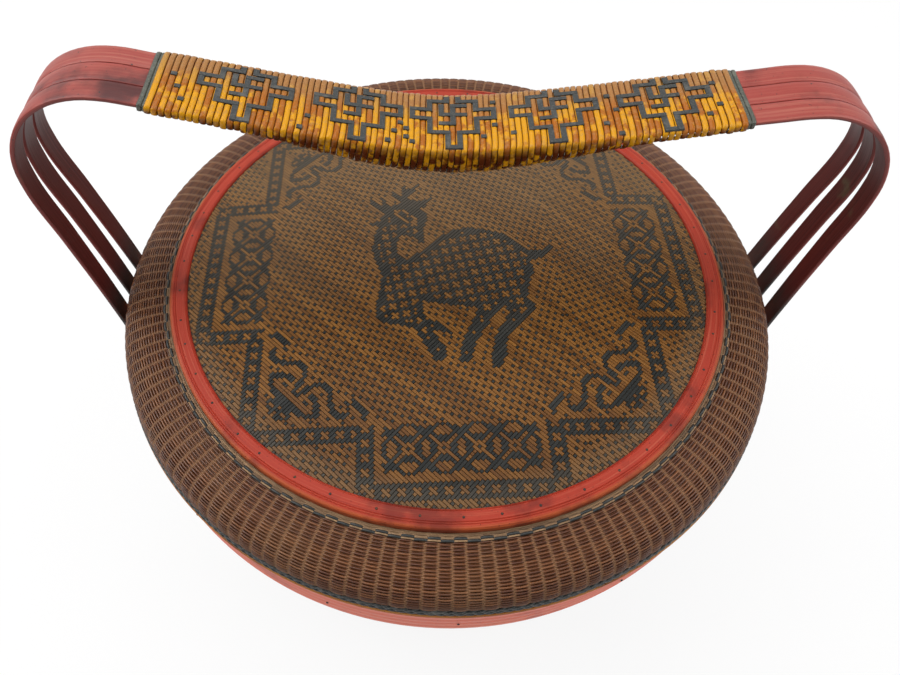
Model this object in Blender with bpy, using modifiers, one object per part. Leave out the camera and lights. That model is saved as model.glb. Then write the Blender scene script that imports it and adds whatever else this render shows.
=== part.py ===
"""Stacking wedding basket: base tray with a strap handle, one upper tray and a domed lid.

Metres, +Z up. The origin is on the basket's axis, on the surface it stands on.
X runs across the basket from one end of the handle to the other, Y from front to back.
Each tier is built about its own seat, so its heights count from the ring that it stands on.
"""

import math

import bmesh
import bpy
from mathutils import Matrix, Vector

# Clearances and construction
GAP = 0.0003                 # between two pieces that touch
LIFT_GAP = 0.0005            # between a tier's lining and the collar it slips over
RING_SIDES = 40              # flats round every turned piece
MERGE = 0.00002              # for closing a turned seam
SHARP_DEGREES = 40.0         # a corner over this stays sharp on a smooth piece

# Weave and hoops, shared by the tiers
WALL = 0.0026                # thickness of the woven walls
LINING = 0.0018              # inner lining hoop of a tier's mouth
COLLAR = 0.0022              # upright hoop that the tier above slips over
COLLAR_RISE = 0.0120         # how far the collar stands above its rim
COLLAR_TAIL = 0.0160         # how far it runs down inside the wall
BRAID_HEIGHT = 0.0052        # plaited rope round the wall
BRAID_BULGE = 0.0016         # how far it stands out of the wall
FLAT_BRAID_BULGE = 0.0013    # the same under a rim, where the straps pass close
BRAID_SHOULDER_SHARE = 0.7   # of the bulge, where the braid's round side turns in
BRAID_EDGE_SHARE = 0.12      # of its height, from there to its edge

# Lid
HOOP_INNER_RADIUS = 0.1520   # the visible disc; every radius of the basket follows it
PANEL_EDGE = 0.0038          # how far the disc runs on into the hoop's rebate
PANEL_THICKNESS = 0.0018
PANEL_CROWN = 0.0055         # rise of the disc at its middle
PANEL_RADIUS_SHARES = (0.0, 0.32, 0.62, 0.85)
PANEL_RISE_SHARES = (1.0, 0.9, 0.62, 0.28)
HOOP_WIDTH = 0.0102
HOOP_HEIGHT = 0.0048
HOOP_LIP = 0.0016            # thickness of the lip over the panel's edge
HOOP_GROOVE = 0.0005         # depth of the two grooves in its top
HOOP_GROOVE_WIDTH = 0.0006
HOOP_GROOVE_SHARES = (0.26, 0.08)   # of the hoop's width, in from its worn corner
HOOP_ROUND = 0.0009          # worn outer corner
FRAME_WIDTH = 0.0090         # inner hoop under the panel's edge
SHOULDER_REACH = 0.0418      # hoop's inner edge out to the widest weave
SHOULDER_DROP = 0.0285       # hoop top down to the widest weave
LID_SIDE_HEIGHT = 0.0325     # seat up to the widest weave
SHOULDER_SQUARENESS = 3.3    # exponent of the dome: 2 is a quarter ellipse
SHOULDER_TUCK = 0.0020       # hoop's inner edge out to the dome's upper edge, under the hoop
SHOULDER_STEPS = 7           # along the dome's outer face
SHOULDER_INNER_STEPS = 5
TWINING_WIDTH = 0.0052       # rope band at the foot of the hoop
TWINING_HEIGHT = 0.0022
TWINING_CROWN_SHARES = (0.15, 0.7)  # of its width, where its round top starts and ends
BRAID_LAP = 0.0072           # how far the lid's braid reaches above the widest weave
RIM_PROUD = 0.0024           # the reeded rim's upper edge, out from the weave
RIM_FLARE = 0.0013           # its lower edge stands this much further out
RIM_REED_COUNT = 4
REED_DEPTH = 0.0008
CANE_HEIGHT = 0.0018         # single bright cane between rim and braid
CANE_PROUD = 0.0019

# Upper tray
TRAY_HEIGHT = 0.0857         # seat to the top of its rim
TRAY_RIM_PROUD = 0.0029      # its rim, out from the wall
TRAY_RIM_HEIGHT = 0.0135
TRAY_RIM_REED_COUNT = 2
TRAY_BELLY = 0.0012          # swelling of the wall at mid height
WALL_STEPS = 3
FLOOR_THICKNESS = 0.0025
BATTEN_WIDTH = 0.0140
BATTEN_THICKNESS = 0.0030
BATTEN_SPACING = 0.1000
BATTEN_COUNT = 3
FOOT_HOOP_HEIGHT = 0.0100
FOOT_HOOP_PROUD = 0.0020
FOOT_REED_COUNT = 2

# Base tray
BASE_HEIGHT = 0.1040
BASE_DRAW_IN = 0.0084        # its rim stands in this far from the lid's widest weave
BASE_RIM_PROUD = 0.0036      # its rim, out from the wall
BASE_RIM_HEIGHT = 0.0135
RIM_SEAT_SHARE = 0.75        # of the rim's height, down to where the straps bear on it
BASE_TAPER = 0.0103          # how far the wall draws in from rim to foot
BASE_FOOT_PROUD = 0.0037     # foot hoop, out from the wall
BASE_FOOT_HEIGHT = 0.0180

# Handle: three bent straps side by side, which fan out below the bends
STRAP_THICKNESS = 0.0022
STRAP_WIDTH = 0.0118
STRAP_PITCH = 0.0121
STRAP_SPLAY_LEFT = 0.0500    # how fast neighbouring straps draw apart, per metre of drop
STRAP_SPLAY_RIGHT = 0.0600
STRAP_END_HEIGHT = 0.0040    # foot of the straps above the ground
SPREAD_LEFT = 0.0060         # outer face at the bends, out from the lid's rim
SPREAD_RIGHT = 0.0088
BEND_RADIUS_LEFT = 0.0496
BEND_RADIUS_RIGHT = 0.0500
RISE_LEFT = 0.1214           # crown of each bend above the lid's hoop
RISE_RIGHT = 0.1112
RISE_MIDDLE = 0.0943         # top of the straps at the middle of the grip
MIDDLE_ROUND = 0.0300        # how softly the two halves of the span meet
PASS_GAP_LEFT = 0.0028       # outer face of the straps beside the lid's rim, out from it
PASS_GAP_RIGHT = 0.0065
STRAP_SPAN_STEPS = 13
STRAP_BEND_STEPS = 8
STRAP_LEG_STEPS = 3

# Grip
GRIP_INSET_LEFT = 0.0755     # from the bends' outer face in to the end of the grip
GRIP_INSET_RIGHT = 0.0815
GRIP_SKIN = 0.0014           # thickness of the wound cane
GRIP_SLACK = 0.0006          # room round the straps inside it
GRIP_DEPTH_END = 0.0016      # padding under the straps at each end of the grip
GRIP_DEPTH_MIDDLE = 0.0185   # and at its middle
GRIP_STATIONS = 15
GRIP_UNDER_POINTS = 7
BINDING_LENGTH = 0.0030
BINDING_SKIN = 0.0011
BINDING_SAG = 0.0004         # fullness of the binding under the straps
SLEEVE_CORNER_SHARE = 0.6    # of its skin, the bevel of a sleeve's upper corners

# Nails that hold the straps to the base
NAIL_RADIUS = 0.0019
NAIL_HEIGHT = 0.0009
NAIL_SIDES = 6

# Levels and radii that follow
PANEL_RADIUS = HOOP_INNER_RADIUS + PANEL_EDGE
HOOP_OUTER_RADIUS = HOOP_INNER_RADIUS + HOOP_WIDTH
SHOULDER_START = HOOP_INNER_RADIUS + SHOULDER_TUCK
SHOULDER_RADIUS = HOOP_INNER_RADIUS + SHOULDER_REACH
RIM_RADIUS = SHOULDER_RADIUS + RIM_PROUD
RIM_HEIGHT = LID_SIDE_HEIGHT + BRAID_LAP - BRAID_HEIGHT - GAP - CANE_HEIGHT - GAP
LID_HEIGHT = LID_SIDE_HEIGHT + SHOULDER_DROP
TRAY_SEAT = BASE_HEIGHT + GAP
LID_SEAT = TRAY_SEAT + TRAY_HEIGHT + GAP
LID_TOP = LID_SEAT + LID_HEIGHT
WIDEST_LEVEL = LID_SEAT + LID_SIDE_HEIGHT
TRAY_COLLAR_RADIUS = SHOULDER_RADIUS - WALL - GAP - LINING - LIFT_GAP
TRAY_WALL_TOP_RADIUS = TRAY_COLLAR_RADIUS + GAP + WALL
TRAY_RIM_RADIUS = TRAY_WALL_TOP_RADIUS + TRAY_RIM_PROUD
BASE_RIM_RADIUS = SHOULDER_RADIUS - BASE_DRAW_IN
BASE_WALL_TOP_RADIUS = BASE_RIM_RADIUS - BASE_RIM_PROUD
BASE_FOOT_WALL_RADIUS = BASE_WALL_TOP_RADIUS - BASE_TAPER
BASE_FOOT_RADIUS = BASE_FOOT_WALL_RADIUS + BASE_FOOT_PROUD
BASE_COLLAR_RADIUS = BASE_WALL_TOP_RADIUS - WALL - GAP
TRAY_FOOT_WALL_RADIUS = BASE_COLLAR_RADIUS + LIFT_GAP + LINING + GAP + WALL
FLOOR_HEIGHT = COLLAR_RISE + GAP + BATTEN_THICKNESS + GAP
RIM_NAIL_LEVEL = BASE_HEIGHT - BASE_RIM_HEIGHT / 2
RIM_SEAT_LEVEL = BASE_HEIGHT - BASE_RIM_HEIGHT * RIM_SEAT_SHARE
FOOT_NAIL_LEVEL = BASE_FOOT_HEIGHT / 2
HANDLE_LEFT = RIM_RADIUS + RIM_FLARE + SPREAD_LEFT
HANDLE_RIGHT = RIM_RADIUS + RIM_FLARE + SPREAD_RIGHT
LID_PASS_LEFT = RIM_RADIUS + RIM_FLARE + PASS_GAP_LEFT
LID_PASS_RIGHT = RIM_RADIUS + RIM_FLARE + PASS_GAP_RIGHT
GRIP_LEFT = HANDLE_LEFT - GRIP_INSET_LEFT
GRIP_RIGHT = HANDLE_RIGHT - GRIP_INSET_RIGHT
GRIP_STEP = (GRIP_LEFT + GRIP_RIGHT) / (GRIP_STATIONS - 1)

COLOURS = {
    "red_lacquer": ((0.50, 0.085, 0.055, 1.0), 0.42),
    "rattan_weave": ((0.115, 0.052, 0.027, 1.0), 0.45),
    "woven_panel": ((0.150, 0.078, 0.032, 1.0), 0.55),
    "dark_braid": ((0.060, 0.048, 0.040, 1.0), 0.60),
    "bright_cane": ((0.420, 0.150, 0.030, 1.0), 0.45),
    "plain_bamboo": ((0.300, 0.170, 0.075, 1.0), 0.60),
    "iron_pin": ((0.045, 0.035, 0.032, 1.0), 0.50),
    "grip_cane": ((0.480, 0.240, 0.045, 1.0), 0.35),
    "grip_pad": ((0.260, 0.200, 0.140, 1.0), 0.90),
    "binding_cloth": ((0.080, 0.085, 0.075, 1.0), 0.85),
}


def clear_scene():
    """Remove whatever objects the open file holds."""
    for item in list(bpy.data.objects):
        bpy.data.objects.remove(item, do_unlink=True)


def make_collection(name):
    """Add a collection to the scene and return it."""
    collection = bpy.data.collections.new(name)
    bpy.context.scene.collection.children.link(collection)
    return collection


def make_material(name, finish):
    """A Principled material of the piece's own, in one of the named finishes."""
    colour, roughness = COLOURS[finish]
    material = bpy.data.materials.new(name + "_" + finish)
    material.use_nodes = True
    shader = material.node_tree.nodes["Principled BSDF"]
    shader.inputs["Base Color"].default_value = colour
    shader.inputs["Roughness"].default_value = roughness
    shader.inputs["Metallic"].default_value = 0.0
    material.diffuse_color = colour
    return material


def make_empty(name, height, parent):
    """An empty on the basket's axis, which carries one tier."""
    empty = bpy.data.objects.new(name, None)
    PARTS.objects.link(empty)
    empty.location = (0.0, 0.0, height)
    empty.parent = parent
    return empty


def make_part(name, mesh, finish, parent=None):
    """Put a mesh in the scene as one named sub-part."""
    mesh.materials.append(make_material(name, finish))
    part = bpy.data.objects.new(name, mesh)
    part.parent = parent
    PARTS.objects.link(part)
    return part


def smooth(mesh):
    """Shade a round piece smooth, with its real corners kept sharp."""
    mesh.shade_smooth()
    mesh.set_sharp_from_angle(angle=math.radians(SHARP_DEGREES))


def turned(name, outline, finish, parent, closed=True):
    """Turn an outline of (radius, height) points about the basket's axis.

    The outline runs down the outer side and back up the inner side. An open
    outline starts and ends on the axis and makes a disc.
    """
    mesh = bpy.data.meshes.new(name)
    points = [(radius, 0.0, height) for radius, height in outline]
    count = len(points)
    edges = [(i, i + 1) for i in range(count - 1)]
    if closed:
        edges.append((count - 1, 0))
    mesh.from_pydata(points, edges, [])
    part = make_part(name, mesh, finish, parent)
    screw = part.modifiers.new("turn", "SCREW")
    screw.steps = RING_SIDES
    screw.render_steps = RING_SIDES
    screw.use_merge_vertices = True
    screw.merge_threshold = MERGE
    screw.use_smooth_shade = True
    return part


def ring(name, inner, outer, low, high, finish, parent):
    """A plain hoop of rectangular section."""
    outline = [(outer, high), (outer, low), (inner, low), (inner, high)]
    return turned(name, outline, finish, parent)


def rope_ring(name, wall, bulge, low, height, finish, parent):
    """A rope or braid laid round a wall: flat against the wall, rounded outside."""
    inner = wall + GAP
    turn = inner + bulge * BRAID_SHOULDER_SHARE
    edge = height * BRAID_EDGE_SHARE
    outline = [
        (inner, low + height),
        (turn, low + height - edge),
        (inner + bulge, low + height / 2),
        (turn, low + edge),
        (inner, low),
    ]
    return turned(name, outline, finish, parent)


def shoulder_curve(start_radius, end_radius, start_height, end_height, steps):
    """Points of the dome, from the hoop's foot out to the widest radius."""
    power = 2.0 / SHOULDER_SQUARENESS
    points = []
    for step in range(steps + 1):
        angle = math.pi / 2 * step / steps
        radius = start_radius + (end_radius - start_radius) * math.sin(angle) ** power
        height = end_height + (start_height - end_height) * math.cos(angle) ** power
        points.append((radius, height))
    return points


def reeded_outline(inner, low, high, top_radius, low_radius, reeds):
    """A rim whose outer side is a row of rounded reeds, one above another."""
    height = (high - low) / reeds
    points = []
    for reed in range(reeds):
        upper = high - height * reed
        share = reed / reeds
        radius = top_radius + (low_radius - top_radius) * share
        points.append((radius - REED_DEPTH, upper))
        points.append((radius, upper - height / 2))
    points.append((low_radius - REED_DEPTH, low))
    return points + [(inner, low), (inner, high)]


def build_lid(carrier):
    """The domed lid: woven panel, red hoop, rope band, woven shoulder and reeded rim."""
    top = LID_HEIGHT
    under_lip = top - HOOP_LIP - GAP
    upper = [(PANEL_RADIUS * out_share, under_lip + PANEL_CROWN * rise_share)
             for out_share, rise_share in zip(PANEL_RADIUS_SHARES, PANEL_RISE_SHARES)]
    upper.append((HOOP_INNER_RADIUS, under_lip))
    upper.append((PANEL_RADIUS, under_lip))
    lower = [(radius, height - PANEL_THICKNESS) for radius, height in reversed(upper)]
    turned("lid_panel", upper + lower, "woven_panel", carrier, closed=False)

    rebate = PANEL_RADIUS + GAP
    bottom = top - HOOP_HEIGHT
    outline = [(HOOP_INNER_RADIUS, top)]
    for share in HOOP_GROOVE_SHARES:
        radius = HOOP_OUTER_RADIUS - HOOP_ROUND - HOOP_WIDTH * share
        outline += [(radius - HOOP_GROOVE_WIDTH, top),
                    (radius, top - HOOP_GROOVE),
                    (radius + HOOP_GROOVE_WIDTH, top)]
    outline += [(HOOP_OUTER_RADIUS, top - HOOP_ROUND), (HOOP_OUTER_RADIUS, bottom),
                (rebate, bottom), (rebate, top - HOOP_LIP), (HOOP_INNER_RADIUS, top - HOOP_LIP)]
    turned("lid_hoop", outline, "red_lacquer", carrier)

    frame_top = under_lip - PANEL_THICKNESS - GAP
    shoulder_top = bottom - GAP
    frame_outer = SHOULDER_START - GAP
    ring("lid_panel_frame", frame_outer - FRAME_WIDTH, frame_outer,
         shoulder_top - WALL, frame_top, "plain_bamboo", carrier)

    wall_low = 2 * GAP
    wide = top - SHOULDER_DROP
    outer = shoulder_curve(SHOULDER_START, SHOULDER_RADIUS, shoulder_top, wide, SHOULDER_STEPS)
    outer.append((SHOULDER_RADIUS, wall_low))
    inner = shoulder_curve(SHOULDER_START, SHOULDER_RADIUS - WALL, shoulder_top - WALL, wide,
                           SHOULDER_INNER_STEPS)
    inner.append((SHOULDER_RADIUS - WALL, wall_low))
    turned("lid_shoulder", outer + inner[::-1], "rattan_weave", carrier)

    foot = HOOP_OUTER_RADIUS + GAP
    lying = [point for point in outer if foot < point[0] < foot + TWINING_WIDTH]
    slope_start = dome_height(foot, wide, shoulder_top)
    slope_end = dome_height(foot + TWINING_WIDTH, wide, shoulder_top)
    under = [(foot, slope_start + GAP)] + [(r, z + GAP) for r, z in lying]
    under.append((foot + TWINING_WIDTH, slope_end + GAP))
    crown_levels = (slope_start + TWINING_HEIGHT, slope_end + TWINING_HEIGHT)
    over = [(foot + TWINING_WIDTH * share, level)
            for share, level in zip(TWINING_CROWN_SHARES, crown_levels)]
    turned("lid_twining", over + under[::-1], "dark_braid", carrier)

    rim_inner = SHOULDER_RADIUS + GAP
    outline = reeded_outline(rim_inner, 0.0, RIM_HEIGHT, RIM_RADIUS, RIM_RADIUS + RIM_FLARE,
                             RIM_REED_COUNT)
    turned("lid_rim", outline, "red_lacquer", carrier)
    cane_low = RIM_HEIGHT + GAP
    rope_ring("lid_cane_ring", SHOULDER_RADIUS, CANE_PROUD, cane_low, CANE_HEIGHT, "bright_cane", carrier)
    braid_low = cane_low + CANE_HEIGHT + GAP
    rope_ring("lid_braid", SHOULDER_RADIUS, BRAID_BULGE, braid_low, BRAID_HEIGHT, "dark_braid", carrier)
    lining_outer = SHOULDER_RADIUS - WALL - GAP
    ring("lid_lining_hoop", lining_outer - LINING, lining_outer, 0.0, COLLAR_TAIL, "plain_bamboo", carrier)


def dome_height(radius, wide, start_height):
    """Height of the shoulder's outer face at a radius."""
    power = 2.0 / SHOULDER_SQUARENESS
    share = (radius - SHOULDER_START) / (SHOULDER_RADIUS - SHOULDER_START)
    angle = math.asin(share ** (1.0 / power))
    return wide + (start_height - wide) * math.cos(angle) ** power


def wall_radius(level, height, top_wall, foot_wall):
    """Outer radius of a tray's wall: upright at its collar and its floor, and swelling between."""
    upper = height - COLLAR_TAIL - GAP
    lower = FLOOR_HEIGHT + FLOOR_THICKNESS + GAP
    share = min(1.0, max(0.0, (upper - level) / (upper - lower)))
    return top_wall + (foot_wall - top_wall) * share + TRAY_BELLY * math.sin(math.pi * share)


def build_tier(prefix, carrier, height, sizes):
    """One woven tray: wall, rim, collar, braids, foot hoop, lining, floor and battens."""
    foot_wall, top_wall, rim_radius, rim_height, foot_radius, foot_height = sizes
    upper = height - COLLAR_TAIL - GAP
    lower = FLOOR_HEIGHT + FLOOR_THICKNESS + GAP
    levels = [height] + [upper + (lower - upper) * step / WALL_STEPS for step in range(WALL_STEPS + 1)]
    levels.append(2 * GAP)
    outer = [(wall_radius(level, height, top_wall, foot_wall), level) for level in levels]
    inner = [(radius - WALL, level) for radius, level in outer]
    turned(prefix + "_wall", outer + inner[::-1], "rattan_weave", carrier)

    def wall_at(level):
        return wall_radius(level, height, top_wall, foot_wall)

    rim_low = height - rim_height
    rim_inner = max(wall_at(height), wall_at(rim_low)) + GAP
    outline = reeded_outline(rim_inner, rim_low, height, rim_radius, rim_radius, TRAY_RIM_REED_COUNT)
    turned(prefix + "_rim", outline, "red_lacquer", carrier)
    ring(prefix + "_collar", top_wall - WALL - GAP - COLLAR, top_wall - WALL - GAP,
         height - COLLAR_TAIL, height + COLLAR_RISE, "plain_bamboo", carrier)
    upper_braid = rim_low - GAP - BRAID_HEIGHT
    braid_wall = max(wall_at(rim_low), wall_at(upper_braid))
    rope_ring(prefix + "_upper_braid", braid_wall, FLAT_BRAID_BULGE,
              upper_braid, BRAID_HEIGHT, "dark_braid", carrier)

    foot_inner = wall_at(foot_height) + GAP
    outline = reeded_outline(foot_inner, 0.0, foot_height, foot_radius, foot_radius, FOOT_REED_COUNT)
    turned(prefix + "_foot_hoop", outline, "red_lacquer", carrier)
    lower_braid = foot_height + GAP
    rope_ring(prefix + "_lower_braid", wall_at(lower_braid + BRAID_HEIGHT), BRAID_BULGE,
              lower_braid, BRAID_HEIGHT, "dark_braid", carrier)

    lining_outer = foot_wall - WALL - GAP
    lining_inner = lining_outer - LINING
    lining_top = FLOOR_HEIGHT - GAP
    ring(prefix + "_lining_hoop", lining_inner, lining_outer, 0.0, lining_top, "plain_bamboo", carrier)
    floor_top = FLOOR_HEIGHT + FLOOR_THICKNESS
    outline = [(0.0, floor_top), (lining_outer, floor_top), (lining_outer, FLOOR_HEIGHT), (0.0, FLOOR_HEIGHT)]
    turned(prefix + "_floor", outline, "plain_bamboo", carrier, closed=False)
    build_battens(prefix + "_batten", lining_inner, carrier)


def build_battens(name, inside, carrier):
    """Split bamboo bars under a floor, each cut to its own chord of the lining hoop."""
    centre_height = FLOOR_HEIGHT - GAP - BATTEN_THICKNESS / 2
    flat = inside * math.cos(math.pi / RING_SIDES)
    for index in range(BATTEN_COUNT):
        across = (index - (BATTEN_COUNT - 1) / 2) * BATTEN_SPACING
        edge = abs(across) + BATTEN_WIDTH / 2
        half = math.sqrt(flat * flat - edge * edge) - GAP
        shape = bmesh.new()
        bmesh.ops.create_cube(shape, size=1.0, matrix=Matrix.Diagonal(
            (2 * half, BATTEN_WIDTH, BATTEN_THICKNESS, 1.0)))
        mesh = bpy.data.meshes.new(name)
        shape.to_mesh(mesh)
        shape.free()
        part = make_part(f"{name}_{index + 1}", mesh, "plain_bamboo", carrier)
        part.location = (0.0, across, centre_height)


def bend_of(side):
    """Crown height over the lid, bend radius, place beside the lid's rim and reach, for one side."""
    if side > 0:
        return RISE_RIGHT, BEND_RADIUS_RIGHT, LID_PASS_RIGHT, HANDLE_RIGHT
    return RISE_LEFT, BEND_RADIUS_LEFT, LID_PASS_LEFT, HANDLE_LEFT


def leg_offset(side, strap, level):
    """Distance of a leg's centre line in front of or behind the middle, at a level."""
    drop = LID_TOP + bend_of(side)[0] - level
    splay = STRAP_SPLAY_RIGHT if side > 0 else STRAP_SPLAY_LEFT
    return strap * (STRAP_PITCH + splay * max(0.0, drop))


def seat_face(side, strap, radius, level):
    """Where a flat strap's inner face meets a hoop of the base."""
    near_edge = max(0.0, abs(leg_offset(side, strap, level)) - STRAP_WIDTH / 2)
    reach = radius + GAP
    return math.sqrt(reach * reach - near_edge * near_edge)


def leg_face(side, strap, level):
    """Outer face of a strap beside the base, where it runs straight from rim to foot."""
    rim = seat_face(side, strap, BASE_RIM_RADIUS, RIM_SEAT_LEVEL) + STRAP_THICKNESS
    foot = seat_face(side, strap, BASE_FOOT_RADIUS, STRAP_END_HEIGHT) + STRAP_THICKNESS
    share = (level - STRAP_END_HEIGHT) / (RIM_SEAT_LEVEL - STRAP_END_HEIGHT)
    return foot + (rim - foot) * share


def ease(start, end, slope_start, slope_end, share):
    """Cubic between two values with the given end slopes."""
    s2 = share * share
    s3 = s2 * share
    return ((2 * s3 - 3 * s2 + 1) * start + (s3 - 2 * s2 + share) * slope_start
            + (3 * s2 - 2 * s3) * end + (s3 - s2) * slope_end)


def span_height(across):
    """Top face of the straps over the lid, at a signed distance from the middle."""
    rise, bend, _, reach = bend_of(across)
    slope = math.atan2(rise - RISE_MIDDLE, reach - bend)
    start = reach - bend - bend * math.sin(slope)
    level = rise - bend + bend * math.cos(slope)
    whole = math.hypot(start, MIDDLE_ROUND) - MIDDLE_ROUND
    climb = (level - RISE_MIDDLE) * (math.hypot(across, MIDDLE_ROUND) - MIDDLE_ROUND) / whole
    return LID_TOP + RISE_MIDDLE + climb


def half_path(side, strap):
    """Outer face of one strap from the middle of the grip down to its foot, as (x, y, z)."""
    rise, bend, lid_pass, reach = bend_of(side)
    slope = math.atan2(rise - RISE_MIDDLE, reach - bend)
    centre_x = reach - bend
    centre_z = LID_TOP + rise - bend
    start = centre_x - bend * math.sin(slope)
    span = []
    for step in range(STRAP_SPAN_STEPS):
        across = side * start * step / STRAP_SPAN_STEPS
        span.append((across, strap * STRAP_PITCH, span_height(across)))
    lean = math.atan2(reach - lid_pass, centre_z - WIDEST_LEVEL)
    leg = []
    for step in range(STRAP_BEND_STEPS + 1):
        angle = -slope + (math.pi / 2 - lean + slope) * step / STRAP_BEND_STEPS
        leg.append((centre_x + bend * math.sin(angle), centre_z + bend * math.cos(angle)))

    bend_foot = leg[-1]
    rim_x = leg_face(side, strap, RIM_SEAT_LEVEL)
    end_x = leg_face(side, strap, STRAP_END_HEIGHT)
    leg_slope = (rim_x - end_x) / (RIM_SEAT_LEVEL - STRAP_END_HEIGHT)
    stretches = ((bend_foot, (lid_pass, WIDEST_LEVEL), math.tan(lean), 0.0),
                 ((lid_pass, WIDEST_LEVEL), (lid_pass, LID_SEAT), 0.0, 0.0),
                 ((lid_pass, LID_SEAT), (rim_x, RIM_SEAT_LEVEL), 0.0, leg_slope))
    for (x0, z0), (x1, z1), slope0, slope1 in stretches:
        for step in range(1, STRAP_LEG_STEPS + 1):
            share = step / STRAP_LEG_STEPS
            x = ease(x0, x1, slope0 * (z1 - z0), slope1 * (z1 - z0), share)
            leg.append((x, z0 + (z1 - z0) * share))
    leg.append((end_x, STRAP_END_HEIGHT))
    return span + [(side * x, leg_offset(side, strap, z), z) for x, z in leg]


def build_strap(name, strap):
    """One bent bamboo strap, from the base's foot over the grip and down the other side."""
    path = half_path(-1, strap)[::-1] + half_path(1, strap)[1:]
    shape = bmesh.new()
    bmesh.ops.create_grid(shape, x_segments=len(path) - 1, y_segments=1, size=1.0)
    order = sorted(shape.verts, key=lambda vert: (vert.co.x, vert.co.y))
    for index, vert in enumerate(order):
        edge = -1.0 if index % 2 == 0 else 1.0
        vert.co = Vector(path[index // 2]) + Vector((0.0, edge * STRAP_WIDTH / 2, 0.0))
    mesh = bpy.data.meshes.new(name)
    shape.to_mesh(mesh)
    shape.free()
    smooth(mesh)
    part = make_part(name, mesh, "red_lacquer")
    solid = part.modifiers.new("thickness", "SOLIDIFY")
    solid.thickness = STRAP_THICKNESS
    solid.offset = -1.0
    solid.use_even_offset = True
    return part


def grip_frame(across):
    """Place of a grip section: underside of the straps, and the direction along the span."""
    here = Vector((across, 0.0, span_height(across) - STRAP_THICKNESS))
    ahead = across + GRIP_STEP / 2
    behind = across - GRIP_STEP / 2
    along = Vector((ahead - behind, 0.0, span_height(ahead) - span_height(behind)))
    return here, along.normalized()


def grip_depth(across):
    """Depth of padding under the straps along the grip."""
    end = GRIP_RIGHT if across > 0 else GRIP_LEFT
    share = min(1.0, abs(across) / end)
    swell = math.cos(math.pi / 2 * share) ** 2
    return GRIP_DEPTH_END + (GRIP_DEPTH_MIDDLE - GRIP_DEPTH_END) * swell


def sleeve_section(across, half_width, above, below, skin):
    """Closed section of a sleeve round the straps: flat over them and a half oval below."""
    here, along = grip_frame(across)
    up = Vector((-along.z, 0.0, along.x))
    corner = skin * SLEEVE_CORNER_SHARE
    flat = [(half_width, above - corner), (half_width - corner, above),
            (corner - half_width, above), (-half_width, above - corner)]
    under = []
    side_foot = skin + GAP
    for index in range(GRIP_UNDER_POINTS):
        angle = math.pi + math.pi * index / (GRIP_UNDER_POINTS - 1)
        under.append((half_width * math.cos(angle), (below - side_foot) * math.sin(angle) - side_foot))
    return [here + Vector((0.0, 1.0, 0.0)) * a + up * b for a, b in flat + under]


def pad_section(across, half_width, below):
    """Section of the padding: a half oval under the straps."""
    here, along = grip_frame(across)
    up = Vector((-along.z, 0.0, along.x))
    points = []
    for index in range(GRIP_UNDER_POINTS):
        angle = math.pi + math.pi * index / (GRIP_UNDER_POINTS - 1)
        points.append((half_width * math.cos(angle), -GAP + (below - GAP) * math.sin(angle)))
    return [here + Vector((0.0, 1.0, 0.0)) * a + up * b for a, b in points]


def loft(sections, capped):
    """Join closed sections of one point count into a mesh, with or without end faces."""
    shape = bmesh.new()
    rings = [[shape.verts.new(point) for point in section] for section in sections]
    count = len(rings[0])
    for first, second in zip(rings, rings[1:]):
        for index in range(count):
            after = (index + 1) % count
            shape.faces.new((first[index], first[after], second[after], second[index]))
    if capped:
        shape.faces.new(rings[0][::-1])
        shape.faces.new(rings[-1])
    bmesh.ops.recalc_face_normals(shape, faces=shape.faces)
    return shape


def sleeve(name, low, high, stations, sizes, skin, finish):
    """A hollow sleeve round the straps, from one station along the span to another."""
    sections = []
    for index in range(stations):
        across = low + (high - low) * index / (stations - 1)
        half_width, above, below = sizes(across)
        sections.append(sleeve_section(across, half_width, above, below, skin))
    shape = loft(sections, capped=False)
    mesh = bpy.data.meshes.new(name)
    shape.to_mesh(mesh)
    shape.free()
    smooth(mesh)
    part = make_part(name, mesh, finish)
    solid = part.modifiers.new("skin", "SOLIDIFY")
    solid.thickness = skin
    solid.offset = -1.0
    solid.use_even_offset = True
    return part


def build_grip():
    """Padding under the straps, the wound cane round both, and the binding at each end."""
    inside_half = STRAP_PITCH + STRAP_WIDTH / 2 + GRIP_SLACK
    inside_above = STRAP_THICKNESS + GRIP_SLACK

    def wrap_sizes(across):
        return (inside_half + GRIP_SKIN, inside_above + GRIP_SKIN, grip_depth(across) + GRIP_SKIN)

    sleeve("grip_wrap", -GRIP_LEFT, GRIP_RIGHT, GRIP_STATIONS,
           wrap_sizes, GRIP_SKIN, "grip_cane")
    sections = []
    pad_low = GAP - GRIP_LEFT
    pad_step = GRIP_STEP - 2 * GAP / (GRIP_STATIONS - 1)
    for index in range(GRIP_STATIONS):
        across = pad_low + pad_step * index
        sections.append(pad_section(across, inside_half - 4 * GAP, grip_depth(across) - 2 * GAP))
    shape = loft(sections, capped=True)
    mesh = bpy.data.meshes.new("grip_padding")
    shape.to_mesh(mesh)
    shape.free()
    smooth(mesh)
    make_part("grip_padding", mesh, "grip_pad")

    def binding_sizes(across):
        return (inside_half - GRIP_SLACK + GAP + BINDING_SKIN, STRAP_THICKNESS + GAP + BINDING_SKIN,
                GAP + BINDING_SKIN + BINDING_SAG)

    for name, side, end in (("grip_binding_left", -1, GRIP_LEFT), ("grip_binding_right", 1, GRIP_RIGHT)):
        near = side * (end + GAP)
        far = side * (end + GAP + BINDING_LENGTH)
        sleeve(name, min(near, far), max(near, far), 2, binding_sizes, BINDING_SKIN, "binding_cloth")


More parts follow.
